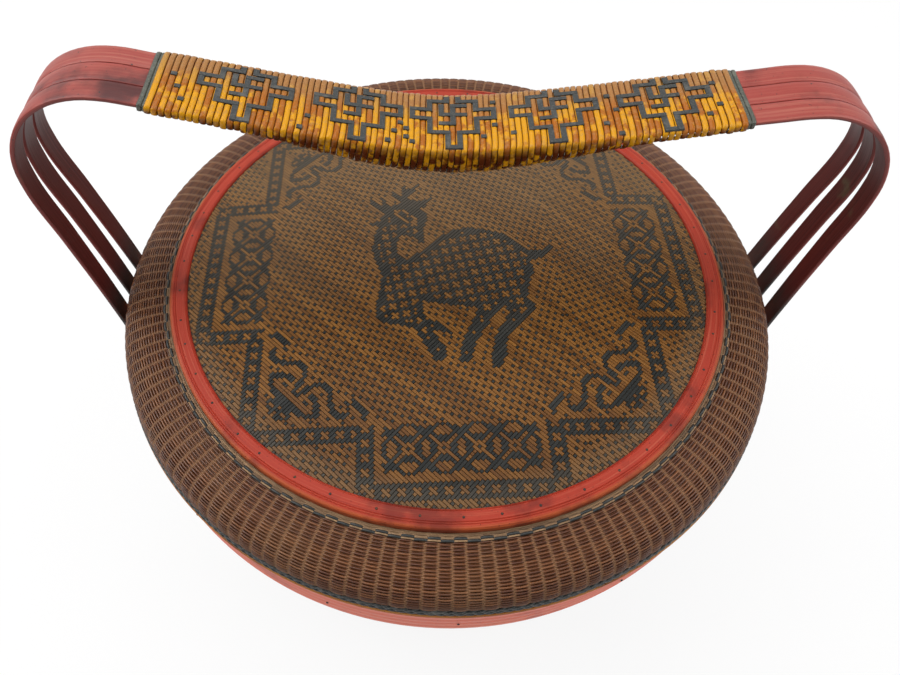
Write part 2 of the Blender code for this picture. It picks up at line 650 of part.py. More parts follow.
def build_strap_nails():
    """Nails through the straps' feet into the base's rim and foot hoop."""
    shape = bmesh.new()
    bmesh.ops.create_cone(shape, cap_ends=True, segments=NAIL_SIDES,
                          radius1=NAIL_RADIUS, radius2=NAIL_RADIUS, depth=NAIL_HEIGHT)
    mesh = bpy.data.meshes.new("strap_nail")
    shape.to_mesh(mesh)
    shape.free()
    mesh.materials.append(make_material("strap_nail", "iron_pin"))
    lean = math.atan2(BASE_RIM_RADIUS - BASE_FOOT_RADIUS, RIM_SEAT_LEVEL - STRAP_END_HEIGHT)
    for side, side_name in ((-1, "left"), (1, "right")):
        for strap, strap_name in ((-1, "front"), (0, "middle"), (1, "back")):
            for level, place_name in ((RIM_NAIL_LEVEL, "rim"), (FOOT_NAIL_LEVEL, "foot")):
                out = leg_face(side, strap, level) + 2 * GAP + NAIL_HEIGHT / 2
                nail = bpy.data.objects.new(f"nail_{side_name}_{strap_name}_{place_name}", mesh)
                nail.location = (side * out, leg_offset(side, strap, level), level)
                nail.rotation_euler = (0.0, side * (math.pi / 2 + lean), 0.0)
                PARTS.objects.link(nail)


def build():
    """Build every tier and the handle."""
    base_sizes = (BASE_FOOT_WALL_RADIUS, BASE_WALL_TOP_RADIUS, BASE_RIM_RADIUS, BASE_RIM_HEIGHT,
                  BASE_FOOT_RADIUS, BASE_FOOT_HEIGHT)
    build_tier("base", None, BASE_HEIGHT, base_sizes)
    tray_carrier = make_empty("upper_tray_seat", TRAY_SEAT, None)
    tray_sizes = (TRAY_FOOT_WALL_RADIUS, TRAY_WALL_TOP_RADIUS, TRAY_RIM_RADIUS, TRAY_RIM_HEIGHT,
                  TRAY_FOOT_WALL_RADIUS + FOOT_HOOP_PROUD, FOOT_HOOP_HEIGHT)
    build_tier("tray", tray_carrier, TRAY_HEIGHT, tray_sizes)
    lid_carrier = make_empty("lid_seat", LID_SEAT - TRAY_SEAT, tray_carrier)
    build_lid(lid_carrier)
    for name, strap in (("strap_front", -1), ("strap_middle", 0), ("strap_back", 1)):
        build_strap(name, strap)
    build_grip()
    build_strap_nails()
    bpy.context.view_layer.update()


clear_scene()
PARTS = make_collection("stacking_wedding_basket")
build()
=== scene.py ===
"""Looks of a stacking wedding basket: its woven lid, its hoops, its trays and its strap handle.

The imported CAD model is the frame. Sizes are read from its nodes where a piece follows one, and
are fields of the sub-assemblies' classes otherwise. Everything is in metres, +Z up, with the
origin on the basket's axis at the surface that it stands on.
"""

import logging
import math
from dataclasses import dataclass
from enum import Enum

import bpy
import numpy as np
from mathutils import Matrix, Vector


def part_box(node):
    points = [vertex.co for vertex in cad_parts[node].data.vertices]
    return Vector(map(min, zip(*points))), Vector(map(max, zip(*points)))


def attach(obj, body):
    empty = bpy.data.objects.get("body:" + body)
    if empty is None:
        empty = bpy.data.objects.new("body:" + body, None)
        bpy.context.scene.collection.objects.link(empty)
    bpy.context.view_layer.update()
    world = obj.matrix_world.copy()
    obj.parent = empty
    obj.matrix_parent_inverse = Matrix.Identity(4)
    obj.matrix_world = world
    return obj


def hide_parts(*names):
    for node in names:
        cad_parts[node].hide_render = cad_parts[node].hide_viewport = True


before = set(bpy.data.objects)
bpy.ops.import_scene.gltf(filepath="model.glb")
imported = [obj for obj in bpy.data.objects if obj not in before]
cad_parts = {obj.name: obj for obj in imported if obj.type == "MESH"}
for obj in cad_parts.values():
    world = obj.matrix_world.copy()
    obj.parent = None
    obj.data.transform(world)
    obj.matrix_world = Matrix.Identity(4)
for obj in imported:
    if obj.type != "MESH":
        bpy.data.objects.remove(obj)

LOG = logging.getLogger("wedding_basket")
TURN = 2.0 * math.pi
MM = 0.001
VECTOR = "FLOAT_VECTOR"      # a node attribute's kind
ROUND_SIDES = 192            # flats round a turned piece
SHARP_EDGE = math.radians(35.0)   # an edge bent further than this stays sharp
REED_STEPS = 6               # points round one reed of a rim
STAKES = 168                 # upright stakes in a woven wall
WOVEN_WALL = 0.0026          # thickness of a woven wall
BACKING_DEPTH = 0.0013       # from a woven wall's face in to its inner layer

Triple = tuple[float, float, float]
Colour = Triple
Outline = list[tuple[float, float]]
Array = np.ndarray
Node = bpy.types.Node
Socket = bpy.types.NodeSocket
Material = bpy.types.Material
Piece = bpy.types.Object


class Flow(Enum):
    """What the grain of a finish runs along."""

    RING = "round the basket's axis"
    ACROSS = "straight across, along X"


class Repeated(Enum):
    """Small shapes that Geometry Nodes repeats."""

    BAR = "flat strip of cane with chamfered edges"
    NAIL = "domed nail head"


# Node trees


class Graph:
    """A node tree under construction, for a material or for Geometry Nodes."""

    def __init__(self, tree: bpy.types.NodeTree) -> None:
        """Start on the node tree that the nodes go in."""
        self.tree = tree

    def add(self, kind: str, inputs: dict | None = None, **settings: object) -> Node:
        """Add one node.

        Args:
            kind: Blender's name of the node type.
            inputs: Values or sockets, by input name or number.
            settings: Properties of the node itself.

        Returns:
            The new node.
        """
        node = self.tree.nodes.new(kind)
        for name, value in settings.items():
            setattr(node, name, value)
        for key, value in (inputs or {}).items():
            self.feed(node.inputs[key], value)
        return node

    def feed(self, socket: Socket, value: object) -> None:
        """Link a socket into an input, or set the input's own value.

        Args:
            socket: The input.
            value: An output socket, a node whose first output is meant, or a plain value.
        """
        if isinstance(value, Node):
            value = value.outputs[0]
        if isinstance(value, Socket):
            self.tree.links.new(value, socket)
        else:
            socket.default_value = value

    def math(self, operation: str, *values: object) -> Socket:
        """Add a Math node.

        Args:
            operation: Name of the operation.
            values: Its operands.

        Returns:
            The result's socket.
        """
        node = self.add("ShaderNodeMath", operation=operation)
        for socket, value in zip(node.inputs, values):
            self.feed(socket, value)
        return node.outputs[0]

    def plus(self, first: object, second: object) -> Socket:
        """The sum of two numbers."""
        return self.math("ADD", first, second)

    def minus(self, first: object, second: object) -> Socket:
        """The first number less the second."""
        return self.math("SUBTRACT", first, second)

    def times(self, first: object, second: object) -> Socket:
        """The product of two numbers."""
        return self.math("MULTIPLY", first, second)

    def vector(self, operation: str, *values: object) -> Socket:
        """Add a Vector Math node with a vector result.

        Args:
            operation: Name of the operation.
            values: Vectors, and for SCALE the factor last.

        Returns:
            The result's socket.
        """
        node = self.add("ShaderNodeVectorMath", operation=operation)
        sockets = [node.inputs[0], node.inputs[3]] if operation == "SCALE" else node.inputs
        for socket, value in zip(sockets, values):
            self.feed(socket, value)
        return node.outputs[0]

    def combine(self, x: object, y: object, z: object) -> Socket:
        """Three numbers as a vector."""
        return self.add("ShaderNodeCombineXYZ", {"X": x, "Y": y, "Z": z}).outputs[0]

    def separate(self, vector: object) -> tuple[Socket, ...]:
        """The three numbers of a vector."""
        return tuple(self.add("ShaderNodeSeparateXYZ", {"Vector": vector}).outputs)


class Shader(Graph):
    """A material under construction, around one Principled BSDF."""

    def __init__(self, name: str) -> None:
        """Start a material.

        Args:
            name: Name of the material.
        """
        self.material = bpy.data.materials.new(name)
        self.material.use_nodes = True
        super().__init__(self.material.node_tree)
        self.surface = self.tree.nodes["Principled BSDF"]
        self.place = self.add("ShaderNodeTexCoord").outputs["Object"]

    def attribute(self, name: str) -> Socket:
        """A number stored on the mesh."""
        return self.add("ShaderNodeAttribute", attribute_name=name).outputs["Fac"]

    def stretched(self, place: tuple, scales: Triple) -> Socket:
        """Coordinates with a scale of their own in each direction."""
        return self.combine(*(self.times(part, scale) for part, scale in zip(place, scales)))

    def noise(self, vector: object, scale: float, detail: float = 3.0, roughness: float = 0.55) -> Socket:
        """Noise of about 0.3 to 0.7, scale cells to a unit of the coordinates."""
        return self.add("ShaderNodeTexNoise", {"Vector": vector, "Scale": scale, "Detail": detail,
                                               "Roughness": roughness}).outputs["Fac"]

    def step(self, value: object, low: float, high: float) -> Socket:
        """Smooth ramp that is 0 at low and 1 at high; low may be the larger."""
        return self.add("ShaderNodeMapRange", {"Value": value, "From Min": low, "From Max": high},
                        interpolation_type="SMOOTHSTEP").outputs[0]

    def mix(self, share: object, first: object, second: object) -> Socket:
        """Mix two colours.

        Args:
            share: How much of the second.
            first: Colour or socket.
            second: Colour or socket.

        Returns:
            The mixed colour's socket.
        """
        node = self.add("ShaderNodeMix", data_type="RGBA")
        self.feed(node.inputs[0], share)
        for socket, value in ((node.inputs[6], first), (node.inputs[7], second)):
            self.feed(socket, (*value, 1.0) if isinstance(value, tuple) else value)
        return node.outputs[2]

    def ring_place(self) -> tuple[Socket, Socket, Socket]:
        """Angle, radius and height about the basket's axis."""
        x, y, z = self.separate(self.place)
        radius = self.math("SQRT", self.plus(self.times(x, x), self.times(y, y)))
        return self.math("ARCTAN2", y, x), radius, z

    def finish(self, colour: object, roughness: object, height: object | None = None,
               depth: float = 0.0002, **plain: object) -> Material:
        """Close the material.

        Args:
            colour: Base colour.
            roughness: Roughness.
            height: Height of the surface for its bump, 0 to 1.
            depth: Real depth of that bump.
            plain: Plain values of other inputs, with _ for a space in their names.

        Returns:
            The material.
        """
        self.feed(self.surface.inputs["Base Color"],
                  (*colour, 1.0) if isinstance(colour, tuple) else colour)
        self.feed(self.surface.inputs["Roughness"], roughness)
        if height is not None:
            bump = self.add("ShaderNodeBump", {"Height": height, "Strength": 1.0, "Distance": depth})
            self.feed(self.surface.inputs["Normal"], bump)
        for name, value in plain.items():
            self.surface.inputs[name.replace("_", " ")].default_value = value
        return self.material


# Finishes


@dataclass(frozen=True)
class Lacquer:
    """Lacquer over bamboo: rings of grain and fine lines, and a warmer tone from one radius out."""

    name: str
    colour: Colour = (0.360, 0.034, 0.016)
    deep: Colour = (0.120, 0.014, 0.009)
    pale: Colour = (0.440, 0.085, 0.045)
    warm: Colour = (0.380, 0.105, 0.022)
    warm_from: float = 0.300     # radius; by itself it lies outside the basket
    warm_to: float = 0.310
    grain: float = 1400.0        # streaks to a metre, across them
    gloss: float = 0.20

    def material(self) -> Material:
        """Build the material of a lacquered hoop."""
        shader = Shader(self.name)
        angle, radius, height = shader.ring_place()
        along = shader.stretched((angle, radius, height), (1.6, self.grain, self.grain))
        streak = shader.noise(along, 1.0, 4.0)
        blotch = shader.noise(shader.place, 38.0, 4.0)
        fleck = shader.noise(shader.place, 800.0, 2.0)
        warm = shader.times(shader.step(radius, self.warm_from, self.warm_to), 0.5)
        colour = shader.mix(warm, self.colour, self.warm)
        colour = shader.mix(shader.step(streak, 0.50, 0.72), colour, self.pale)
        colour = shader.mix(shader.step(streak, 0.40, 0.28), colour, self.deep)
        colour = shader.mix(shader.times(shader.step(blotch, 0.52, 0.70), 0.7), colour, self.deep)
        colour = shader.mix(shader.step(fleck, 0.66, 0.74), colour, self.deep)
        rough = shader.plus(0.36, shader.times(streak, 0.25))
        return shader.finish(colour, rough, streak, 0.00015, Specular_IOR_Level=self.gloss)


@dataclass(frozen=True)
class WovenCane:
    """Strands of round cane: each has its own tone, with dust where they dip."""

    name: str
    colour: Colour = (0.082, 0.026, 0.011)
    light: Colour = (0.195, 0.074, 0.028)
    dust: Colour = (0.250, 0.130, 0.055)
    dusty: float = 0.50

    def material(self) -> Material:
        """Build the material of woven strands."""
        shader = Shader(self.name)
        lift = shader.attribute("lift")
        tone = shader.attribute("tone")
        along = shader.stretched(shader.ring_place(), (9.0, 2500.0, 2500.0))
        fibre = shader.noise(along, 1.0, 2.0)
        patch = shader.noise(shader.place, 22.0, 3.0)
        light = shader.times(shader.plus(tone, fibre), 0.55)
        colour = shader.mix(shader.step(light, 0.25, 0.95), self.colour, self.light)
        colour = shader.mix(shader.times(shader.step(patch, 0.50, 0.75), 0.25), colour, self.dust)
        dip = shader.times(shader.step(lift, 0.68, 0.14), self.dusty)
        dip = shader.times(dip, shader.step(lift, -1.0, -0.3))
        colour = shader.mix(dip, colour, self.dust)
        rough = shader.plus(0.27, shader.times(dip, 0.55))
        return shader.finish(colour, rough, fibre, 0.00006, Specular_IOR_Level=0.40)


@dataclass(frozen=True)
class SplitStrip:
    """Split bamboo of the panel: fine straight fibres, a tone for each strip, dust at the edge, painted
    shade towards the front and a painted sheen towards the back.
    """

    name: str
    colour: Colour
    light: Colour
    deep: Colour
    slope: float                 # +1 where the strips run up to the right, -1 where down
    # colour of the dust, and also of the painted sheen towards the panel's back
    dust: Colour = (0.200, 0.155, 0.115)
    dusty_from: float = 0.136    # radius where the dust beside the hoop starts
    dusty_to: float = 0.148

    def material(self) -> Material:
        """Build the material of one set of strips."""
        shader = Shader(self.name)
        tone = shader.attribute("tone")
        edge = shader.attribute("edge")
        x, y, _ = shader.separate(shader.place)
        along = shader.plus(x, shader.times(y, self.slope))
        across = shader.minus(x, shader.times(y, self.slope))
        grain = shader.stretched((along, across, 0.0), (60.0, 2600.0, 1.0))
        fibre = shader.noise(grain, 1.0, 3.0, 0.6)
        patch = shader.noise(shader.place, 14.0, 3.0)
        _, radius, _ = shader.ring_place()
        light = shader.plus(shader.times(tone, 0.6), shader.times(fibre, 0.7))
        colour = shader.mix(shader.step(light, 0.30, 1.0), self.colour, self.light)
        colour = shader.mix(shader.step(fibre, 0.44, 0.30), colour, self.deep)
        # painted sheen: towards the back the strips turn to the dust colour, standing in for a reflection
        # of light
        back = shader.plus(y, shader.times(patch, 0.16))
        back_sheen = shader.times(shader.step(back, 0.02, 0.16), 0.60)
        # painted shade: towards the front the strips darken to the deep colour
        near = shader.times(shader.step(back, 0.06, -0.06), 0.42)
        colour = shader.mix(near, colour, self.deep)
        rim = shader.times(shader.step(radius, self.dusty_from, self.dusty_to), 0.36)
        # real dust beside the hoop, and the painted sheen towards the back, both in the dust colour
        colour = shader.mix(shader.math("MAXIMUM", back_sheen, rim), colour, self.dust)
        worn = shader.times(shader.step(edge, 0.5, 1.0), 0.3)
        colour = shader.mix(worn, colour, self.dust)
        rough = shader.plus(0.42, shader.times(back_sheen, 0.3))
        return shader.finish(colour, rough, fibre, 0.00008, Specular_IOR_Level=0.18)


@dataclass(frozen=True)
class StrapLacquer:
    """Red lacquer of the straps: dark inside, worn pale at the bends, black towards the feet."""

    name: str
    colour: Colour = (0.320, 0.046, 0.034)
    pale: Colour = (0.400, 0.108, 0.078)
    deep: Colour = (0.075, 0.010, 0.009)
    black: Colour = (0.022, 0.018, 0.016)
    inside: Colour = (0.110, 0.014, 0.011)
    olive: Colour = (0.110, 0.080, 0.040)
    black_from: float = 0.285    # height below which the black starts
    black_to: float = 0.250

    def material(self) -> Material:
        """Build the material of the straps."""
        shader = Shader(self.name)
        along = shader.attribute("along")
        across = shader.attribute("across")
        outer = shader.attribute("outer")
        _, _, height = shader.separate(shader.place)
        grain = shader.stretched((along, across, 0.0), (9.0, 5.5, 1.0))
        streak = shader.noise(grain, 1.0, 5.0, 0.6)
        patch = shader.noise(shader.place, 28.0, 5.0)
        speck = shader.noise(shader.place, 700.0, 2.0)
        colour = shader.mix(shader.step(streak, 0.42, 0.70), self.colour, self.pale)
        colour = shader.mix(shader.step(patch, 0.50, 0.70), colour, self.deep)
        within = shader.mix(shader.step(streak, 0.45, 0.65), self.inside, self.deep)
        within = shader.mix(shader.step(patch, 0.66, 0.76), within, self.olive)
        colour = shader.mix(shader.step(outer, 0.45, 0.55), within, colour)
        edge = shader.step(shader.math("ABSOLUTE", across), 0.86, 0.99)
        colour = shader.mix(shader.times(edge, 0.40), colour, self.colour)
        colour = shader.mix(shader.step(speck, 0.68, 0.74), colour, self.black)
        low = shader.plus(height, shader.times(streak, 0.05))
        colour = shader.mix(shader.step(low, self.black_from, self.black_to), colour, self.black)
        rough = shader.plus(0.30, shader.times(streak, 0.28))
        return shader.finish(colour, rough, streak, 0.00012, Specular_IOR_Level=0.35)


@dataclass(frozen=True)
class PlainBamboo:
    """Bare split bamboo or straw, without lacquer."""

    name: str
    colour: Colour = (0.300, 0.170, 0.075)
    deep: Colour = (0.130, 0.065, 0.028)
    flow: Flow = Flow.RING

    def material(self) -> Material:
        """Build the material of bare bamboo."""
        shader = Shader(self.name)
        if self.flow is Flow.RING:
            grain = shader.stretched(shader.ring_place(), (2.0, 1200.0, 1200.0))
        else:
            grain = shader.stretched(shader.separate(shader.place), (12.0, 700.0, 700.0))
        fibre = shader.noise(grain, 1.0, 4.0)
        patch = shader.noise(shader.place, 30.0, 4.0)
        colour = shader.mix(shader.step(fibre, 0.35, 0.65), self.deep, self.colour)
        colour = shader.mix(shader.step(patch, 0.55, 0.75), colour, self.deep)
        return shader.finish(colour, 0.6, fibre, 0.0001)


@dataclass(frozen=True)
class Iron:
    """Dark iron of the nails, rubbed on its high points."""

    name: str
    colour: Colour = (0.045, 0.035, 0.032)
    rust: Colour = (0.120, 0.050, 0.025)

    def material(self) -> Material:
        """Build the material of the nails."""
        shader = Shader(self.name)
        patch = shader.noise(shader.place, 900.0, 3.0)
        colour = shader.mix(shader.step(patch, 0.5, 0.65), self.colour, self.rust)
        rough = shader.plus(0.35, shader.times(patch, 0.4))
        return shader.finish(colour, rough, patch, 0.0001, Metallic=0.6)


@dataclass(frozen=True)
class GripCane:
    """Wound cane under old varnish: golden, with red-brown blotches, pale bare specks, and paler, duller
    tops towards the back.
    """

    name: str
    gold: Colour = (0.640, 0.290, 0.006)
    amber: Colour = (0.370, 0.110, 0.006)
    brown: Colour = (0.095, 0.018, 0.004)
    # colour of the bare specks, and of the paler tops towards the back
    worn: Colour = (0.330, 0.185, 0.070)
    back_from: float = 0.004     # behind the basket's middle, where the paler, duller rows start
    back_to: float = 0.020

    def material(self) -> Material:
        """Build the material of the wound cane."""
        shader = Shader(self.name)
        tone = shader.attribute("tone")
        side = shader.attribute("side")
        x, y, z = shader.separate(shader.place)
        fibre = shader.noise(shader.stretched((x, y, z), (3500.0, 120.0, 120.0)), 1.0, 3.0)
        own = shader.combine(shader.plus(x, shader.times(tone, 7.0)), y, z)
        blotch = shader.noise(own, 110.0, 4.0, 0.6)
        speck = shader.noise(own, 420.0, 3.0, 0.6)
        bare = shader.times(shader.step(speck, 0.52, 0.62), 0.36)
        # towards the back the cane turns duller
        back = shader.plus(y, shader.times(fibre, 0.016))
        back = shader.step(back, self.back_from, self.back_to)
        light = shader.plus(shader.times(tone, 0.30), blotch)
        light = shader.minus(light, shader.times(back, 0.20))
        colour = shader.mix(shader.step(light, 0.54, 0.64), self.amber, self.gold)
        colour = shader.mix(bare, colour, self.worn)
        low = shader.step(side, 0.75, -0.25)
        dark = shader.times(shader.step(blotch, 0.57, 0.47), low)
        colour = shader.mix(dark, colour, self.brown)
        # the tops of the turns on the back half turn paler, set by place alone
        top = shader.times(shader.times(back, shader.step(side, 0.2, 0.7)), 0.6)
        colour = shader.mix(top, colour, self.worn)
        rough = shader.plus(0.24, shader.times(bare, 0.35))
        return shader.finish(colour, rough, speck, 0.00025, Specular_IOR_Level=0.18,
                             Coat_Weight=0.04, Coat_Roughness=0.12)


@dataclass(frozen=True)
class DarkCane:
    """Cane dyed black, rubbed grey on its high points."""

    name: str
    colour: Colour = (0.018, 0.021, 0.020)
    rubbed: Colour = (0.120, 0.115, 0.100)
    share: float = 0.55

    def material(self) -> Material:
        """Build the material of black cane."""
        shader = Shader(self.name)
        fibre = shader.noise(shader.place, 1400.0, 3.0)
        patch = shader.noise(shader.place, 120.0, 3.0)
        rubbed = shader.times(shader.step(fibre, 0.50, 0.68), self.share)
        colour = shader.mix(rubbed, self.colour, self.rubbed)
        rubbed = shader.times(shader.step(patch, 0.55, 0.70), self.share)
        colour = shader.mix(rubbed, colour, self.rubbed)
        return shader.finish(colour, 0.45, fibre, 0.00008)


@dataclass(frozen=True)
class StudioWhite:
    """Pale floor and backdrop: near white to the camera, with the basket's shadow kept."""

    name: str
    colour: Colour = (0.92, 0.92, 0.92)
    glow: float = 0.86

    def material(self) -> Material:
        """Build the studio's material."""
        shader = Shader(self.name)
        paths = shader.add("ShaderNodeLightPath")
        seen = shader.math("MAXIMUM", paths.outputs["Is Camera Ray"],
                           shader.math("MAXIMUM", paths.outputs["Is Glossy Ray"],
                                       paths.outputs["Is Transmission Ray"]))
        glow = shader.add("ShaderNodeEmission", {"Color": (1.0, 1.0, 1.0, 1.0), "Strength": 1.0})
        mixer = shader.add("ShaderNodeMixShader", {0: shader.times(seen, self.glow),
                                                   1: shader.surface, 2: glow})
        grain = shader.noise(shader.place, 4.0, 2.0)
        shader.finish(self.colour, shader.plus(0.8, shader.times(grain, 0.1)))
        output = shader.tree.nodes["Material Output"]
        shader.tree.links.new(mixer.outputs[0], output.inputs["Surface"])
        return shader.material


# Meshes


def node_points(node: str) -> Array:
    """Corners of a CAD node.

    Args:
        node: Name of the node.

    Returns:
        One row of x, y, z for each different corner.
    """
    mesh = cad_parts[node].data
    points = np.zeros(len(mesh.vertices) * 3)
    mesh.vertices.foreach_get("co", points)
    return np.unique(points.reshape(-1, 3).round(6), axis=0)


def lengths_along(points: Array) -> Array:
    """Distance of each point from the first, along the line through them."""
    return np.concatenate([[0.0], np.cumsum(np.linalg.norm(np.diff(points, axis=0), axis=1))])


def unit(vectors: Array) -> Array:
    """Rows of vectors, each with a length of one."""
    return vectors / np.linalg.norm(vectors, axis=1)[:, None]


def add_attribute(mesh: bpy.types.Mesh, name: str, values: Array) -> None:
    """Store one number, or one vector, at each point of a mesh.

    Args:
        mesh: The mesh.
        name: Name of the attribute.
        values: One value for each point.
    """
    values = np.asarray(values, np.float32)
    kind, field = (VECTOR, "vector") if values.ndim == 2 else ("FLOAT", "value")
    mesh.attributes.new(name, kind, "POINT").data.foreach_set(field, values.ravel())


def add_object(data: bpy.types.ID, name: str) -> Piece:
    """Put a mesh, a lamp or a camera in the scene under a name."""
    item = bpy.data.objects.new(name, data)
    bpy.context.scene.collection.objects.link(item)
    return item


def paint(node: Piece, material: Material) -> None:
    """Dress a CAD node that stays in sight."""
    node.data.materials.clear()
    node.data.materials.append(material)


def make_mesh(name: str, points: Array, faces: Array, material: Material) -> Piece:
    """Make an object of points and four-cornered faces, shaded smooth.

    Args:
        name: Name of the piece.
        points: Rows of x, y, z.
        faces: Rows of point numbers, or a list of rows of any length.
        material: Its finish.

    Returns:
        The new object.
    """
    mesh = bpy.data.meshes.new(name)
    mesh.from_pydata(np.asarray(points).tolist(), [], [list(map(int, face)) for face in faces])
    mesh.validate()
    mesh.shade_smooth()
    mesh.set_sharp_from_angle(angle=SHARP_EDGE)
    mesh.materials.append(material)
    return add_object(mesh, name)


def turned(name: str, outline: Outline, material: Material) -> Piece:
    """Turn a closed outline about the basket's axis.

    Args:
        name: Name of the piece.
        outline: Points of (radius, height) round the section, in either direction.
        material: Its finish.

    Returns:
        The closed ring.
    """
    section = np.array(outline)
    after = np.roll(section, -1, axis=0)
    area = np.sum(section[:, 0] * after[:, 1] - after[:, 0] * section[:, 1])
    if area < 0:
        section = section[::-1]
    angles = np.arange(ROUND_SIDES) * TURN / ROUND_SIDES
    count = len(section)
    points = np.stack([np.outer(np.cos(angles), section[:, 0]), np.outer(np.sin(angles), section[:, 0]),
                       np.tile(section[:, 1], (ROUND_SIDES, 1))], axis=2).reshape(-1, 3)
    ring, corner = np.meshgrid(np.arange(ROUND_SIDES), np.arange(count), indexing="ij")
    next_ring, next_corner = (ring + 1) % ROUND_SIDES, (corner + 1) % count
    faces = np.stack([ring * count + corner, next_ring * count + corner,
                      next_ring * count + next_corner, ring * count + next_corner], axis=2)
    return make_mesh(name, points, faces.reshape(-1, 4), material)


@dataclass(frozen=True)
class Ring:
    """Measured size of a turned CAD node."""

    inner: float
    outer: float
    low: float
    high: float

    @classmethod
    def of(cls, node: str) -> "Ring":
        """Measure a node."""
        points = node_points(node)
        radii = np.hypot(points[:, 0], points[:, 1])
        return cls(radii.min(), radii.max(), points[:, 2].min(), points[:, 2].max())

    def hoop(self, worn: float = 0.0006) -> Outline:
        """Section of a plain hoop of this size, with worn corners.

        Args:
            worn: Size of its corners' rounding.

        Returns:
            The section's outline.
        """
        corners = ((self.outer, self.high, -1, -1), (self.outer, self.low, -1, 1),
                   (self.inner, self.low, 1, 1), (self.inner, self.high, 1, -1))
        outline = []
        for radius, level, inward, upward in corners:
            centre = (radius + inward * worn, level + upward * worn)
            start = math.atan2(-upward, -inward)
            for step in (1, 0, -1):
                sweep = start + step * math.pi / 4 * (1 if inward * upward > 0 else -1)
                outline.append((centre[0] + worn * math.cos(sweep), centre[1] + worn * math.sin(sweep)))
        return outline


def reeded(ring: Ring, top_radius: float, reeds: int, depth: float) -> Outline:
    """Section of a rim whose outer side is a row of rounded reeds.

    Args:
        ring: Size of the rim; its outer radius is that of the lowest reed.
        top_radius: Outer radius of the highest reed.
        reeds: How many reeds lie one above another.
        depth: Depth of the valleys between them.

    Returns:
        The section's outline, down the outer side and back up the inner side.
    """
    height = (ring.high - ring.low) / reeds
    outline = []
    for reed in range(reeds):
        crest = top_radius + (ring.outer - top_radius) * reed / max(1, reeds - 1)
        for step in range(REED_STEPS):
            share = step / REED_STEPS
            bulge = math.sqrt(max(0.0, 1.0 - (2.0 * share - 1.0) ** 2))
            outline.append((crest - depth * (1.0 - bulge), ring.high - height * (reed + share)))
    outline.append((ring.outer - depth, ring.low))
    return outline + [(ring.inner, ring.low), (ring.inner, ring.high)]


# Geometry Nodes


class NodeRecipe(Graph):
    """A Geometry Nodes tree with named inputs, and the way to use it."""

    def __init__(self, name: str, sizes: tuple[str, ...], counts: tuple[str, ...]) -> None:
        """Start a tree.

        Args:
            name: Name of the tree.
            sizes: Names of its inputs that are numbers.
            counts: Names of its inputs that are whole numbers.
        """
        tree = bpy.data.node_groups.new(name, "GeometryNodeTree")
        super().__init__(tree)
        tree.interface.new_socket("Points", in_out="INPUT", socket_type="NodeSocketGeometry")
        kinds = {**dict.fromkeys(sizes, "Float"), **dict.fromkeys(counts, "Int"), "Material": "Material"}
        for label, kind in kinds.items():
            tree.interface.new_socket(label, in_out="INPUT", socket_type="NodeSocket" + kind)
        tree.interface.new_socket("Mesh", in_out="OUTPUT", socket_type="NodeSocketGeometry")
        self.given = self.add("NodeGroupInput").outputs
        self.result = self.add("NodeGroupOutput")

    def named(self, name: str, kind: str = "FLOAT") -> Socket:
        """An attribute of the points."""
        return self.add("GeometryNodeInputNamedAttribute", {"Name": name}, data_type=kind).outputs[0]

    def store(self, geometry: object, name: str, value: object, kind: str = "FLOAT") -> Node:
        """A number or vector kept on the points under a name."""
        return self.add("GeometryNodeStoreNamedAttribute",
                        {"Geometry": geometry, "Name": name, "Value": value},
                        data_type=kind, domain="POINT")

    def copies(self, shape: object, **inputs: object) -> Node:
        """A real copy of a shape at each point, with inputs for its rotation and scale."""
        placed = self.add("GeometryNodeInstanceOnPoints",
                          {"Points": self.given["Points"], "Instance": shape, **inputs})
        return self.add("GeometryNodeRealizeInstances", {"Geometry": placed})

    def swept(self, curve: object, first: str, second: str, caps: bool) -> Node:
        """An oval swept along curves, with the two inputs of these names as its sizes."""
        section = self.add("GeometryNodeCurvePrimitiveCircle",
                           {"Resolution": self.given["Sides"], "Radius": 0.5})
        size = self.combine(self.given[first], self.given[second], 1.0)
        section = self.add("GeometryNodeTransform", {"Geometry": section, "Scale": size})
        return self.add("GeometryNodeCurveToMesh",
                        {"Curve": curve, "Profile Curve": section, "Fill Caps": caps})

    def close(self, geometry: object, smooth: bool) -> None:
        """End the tree.

        Args:
            geometry: The last geometry socket.
            smooth: Whether the mesh is shaded smooth.
        """
        shaded = self.add("GeometryNodeSetShadeSmooth", {"Geometry": geometry, "Shade Smooth": smooth})
        real = self.add("GeometryNodeRealizeInstances", {"Geometry": shaded})
        dressed = self.add("GeometryNodeSetMaterial", {"Geometry": real,
                                                       "Material": self.given["Material"]})
        self.feed(self.result.inputs[0], dressed)

    def make(self, name: str, points: Array | int, attributes: dict[str, Array],
             values: dict[str, object]) -> Piece:
        """Run the tree on a set of points and keep the result as a plain mesh.

        Args:
            name: Name of the finished piece.
            points: Rows of x, y, z, or how many, where the tree places them by attribute.
            attributes: Numbers or vectors of the points, by name.
            values: The tree's inputs, by name.

        Returns:
            The finished object, with no modifier on it.
        """
        rows = np.zeros((points, 3)) if isinstance(points, int) else points
        seed = bpy.data.meshes.new(name + "_points")
        seed.from_pydata(rows.tolist(), [], [])
        for label, numbers in attributes.items():
            add_attribute(seed, label, numbers)
        carrier = add_object(seed, name + "_points")
        modifier = carrier.modifiers.new("repeat", "NODES")
        modifier.node_group = self.tree
        for item in self.tree.interface.items_tree:
            if item.in_out == "INPUT" and item.name in values:
                modifier[item.identifier] = values[item.name]
        graph = bpy.context.evaluated_depsgraph_get()
        mesh = bpy.data.meshes.new_from_object(carrier.evaluated_get(graph))
        mesh.name = name
        bpy.data.objects.remove(carrier)
        return add_object(mesh, name)


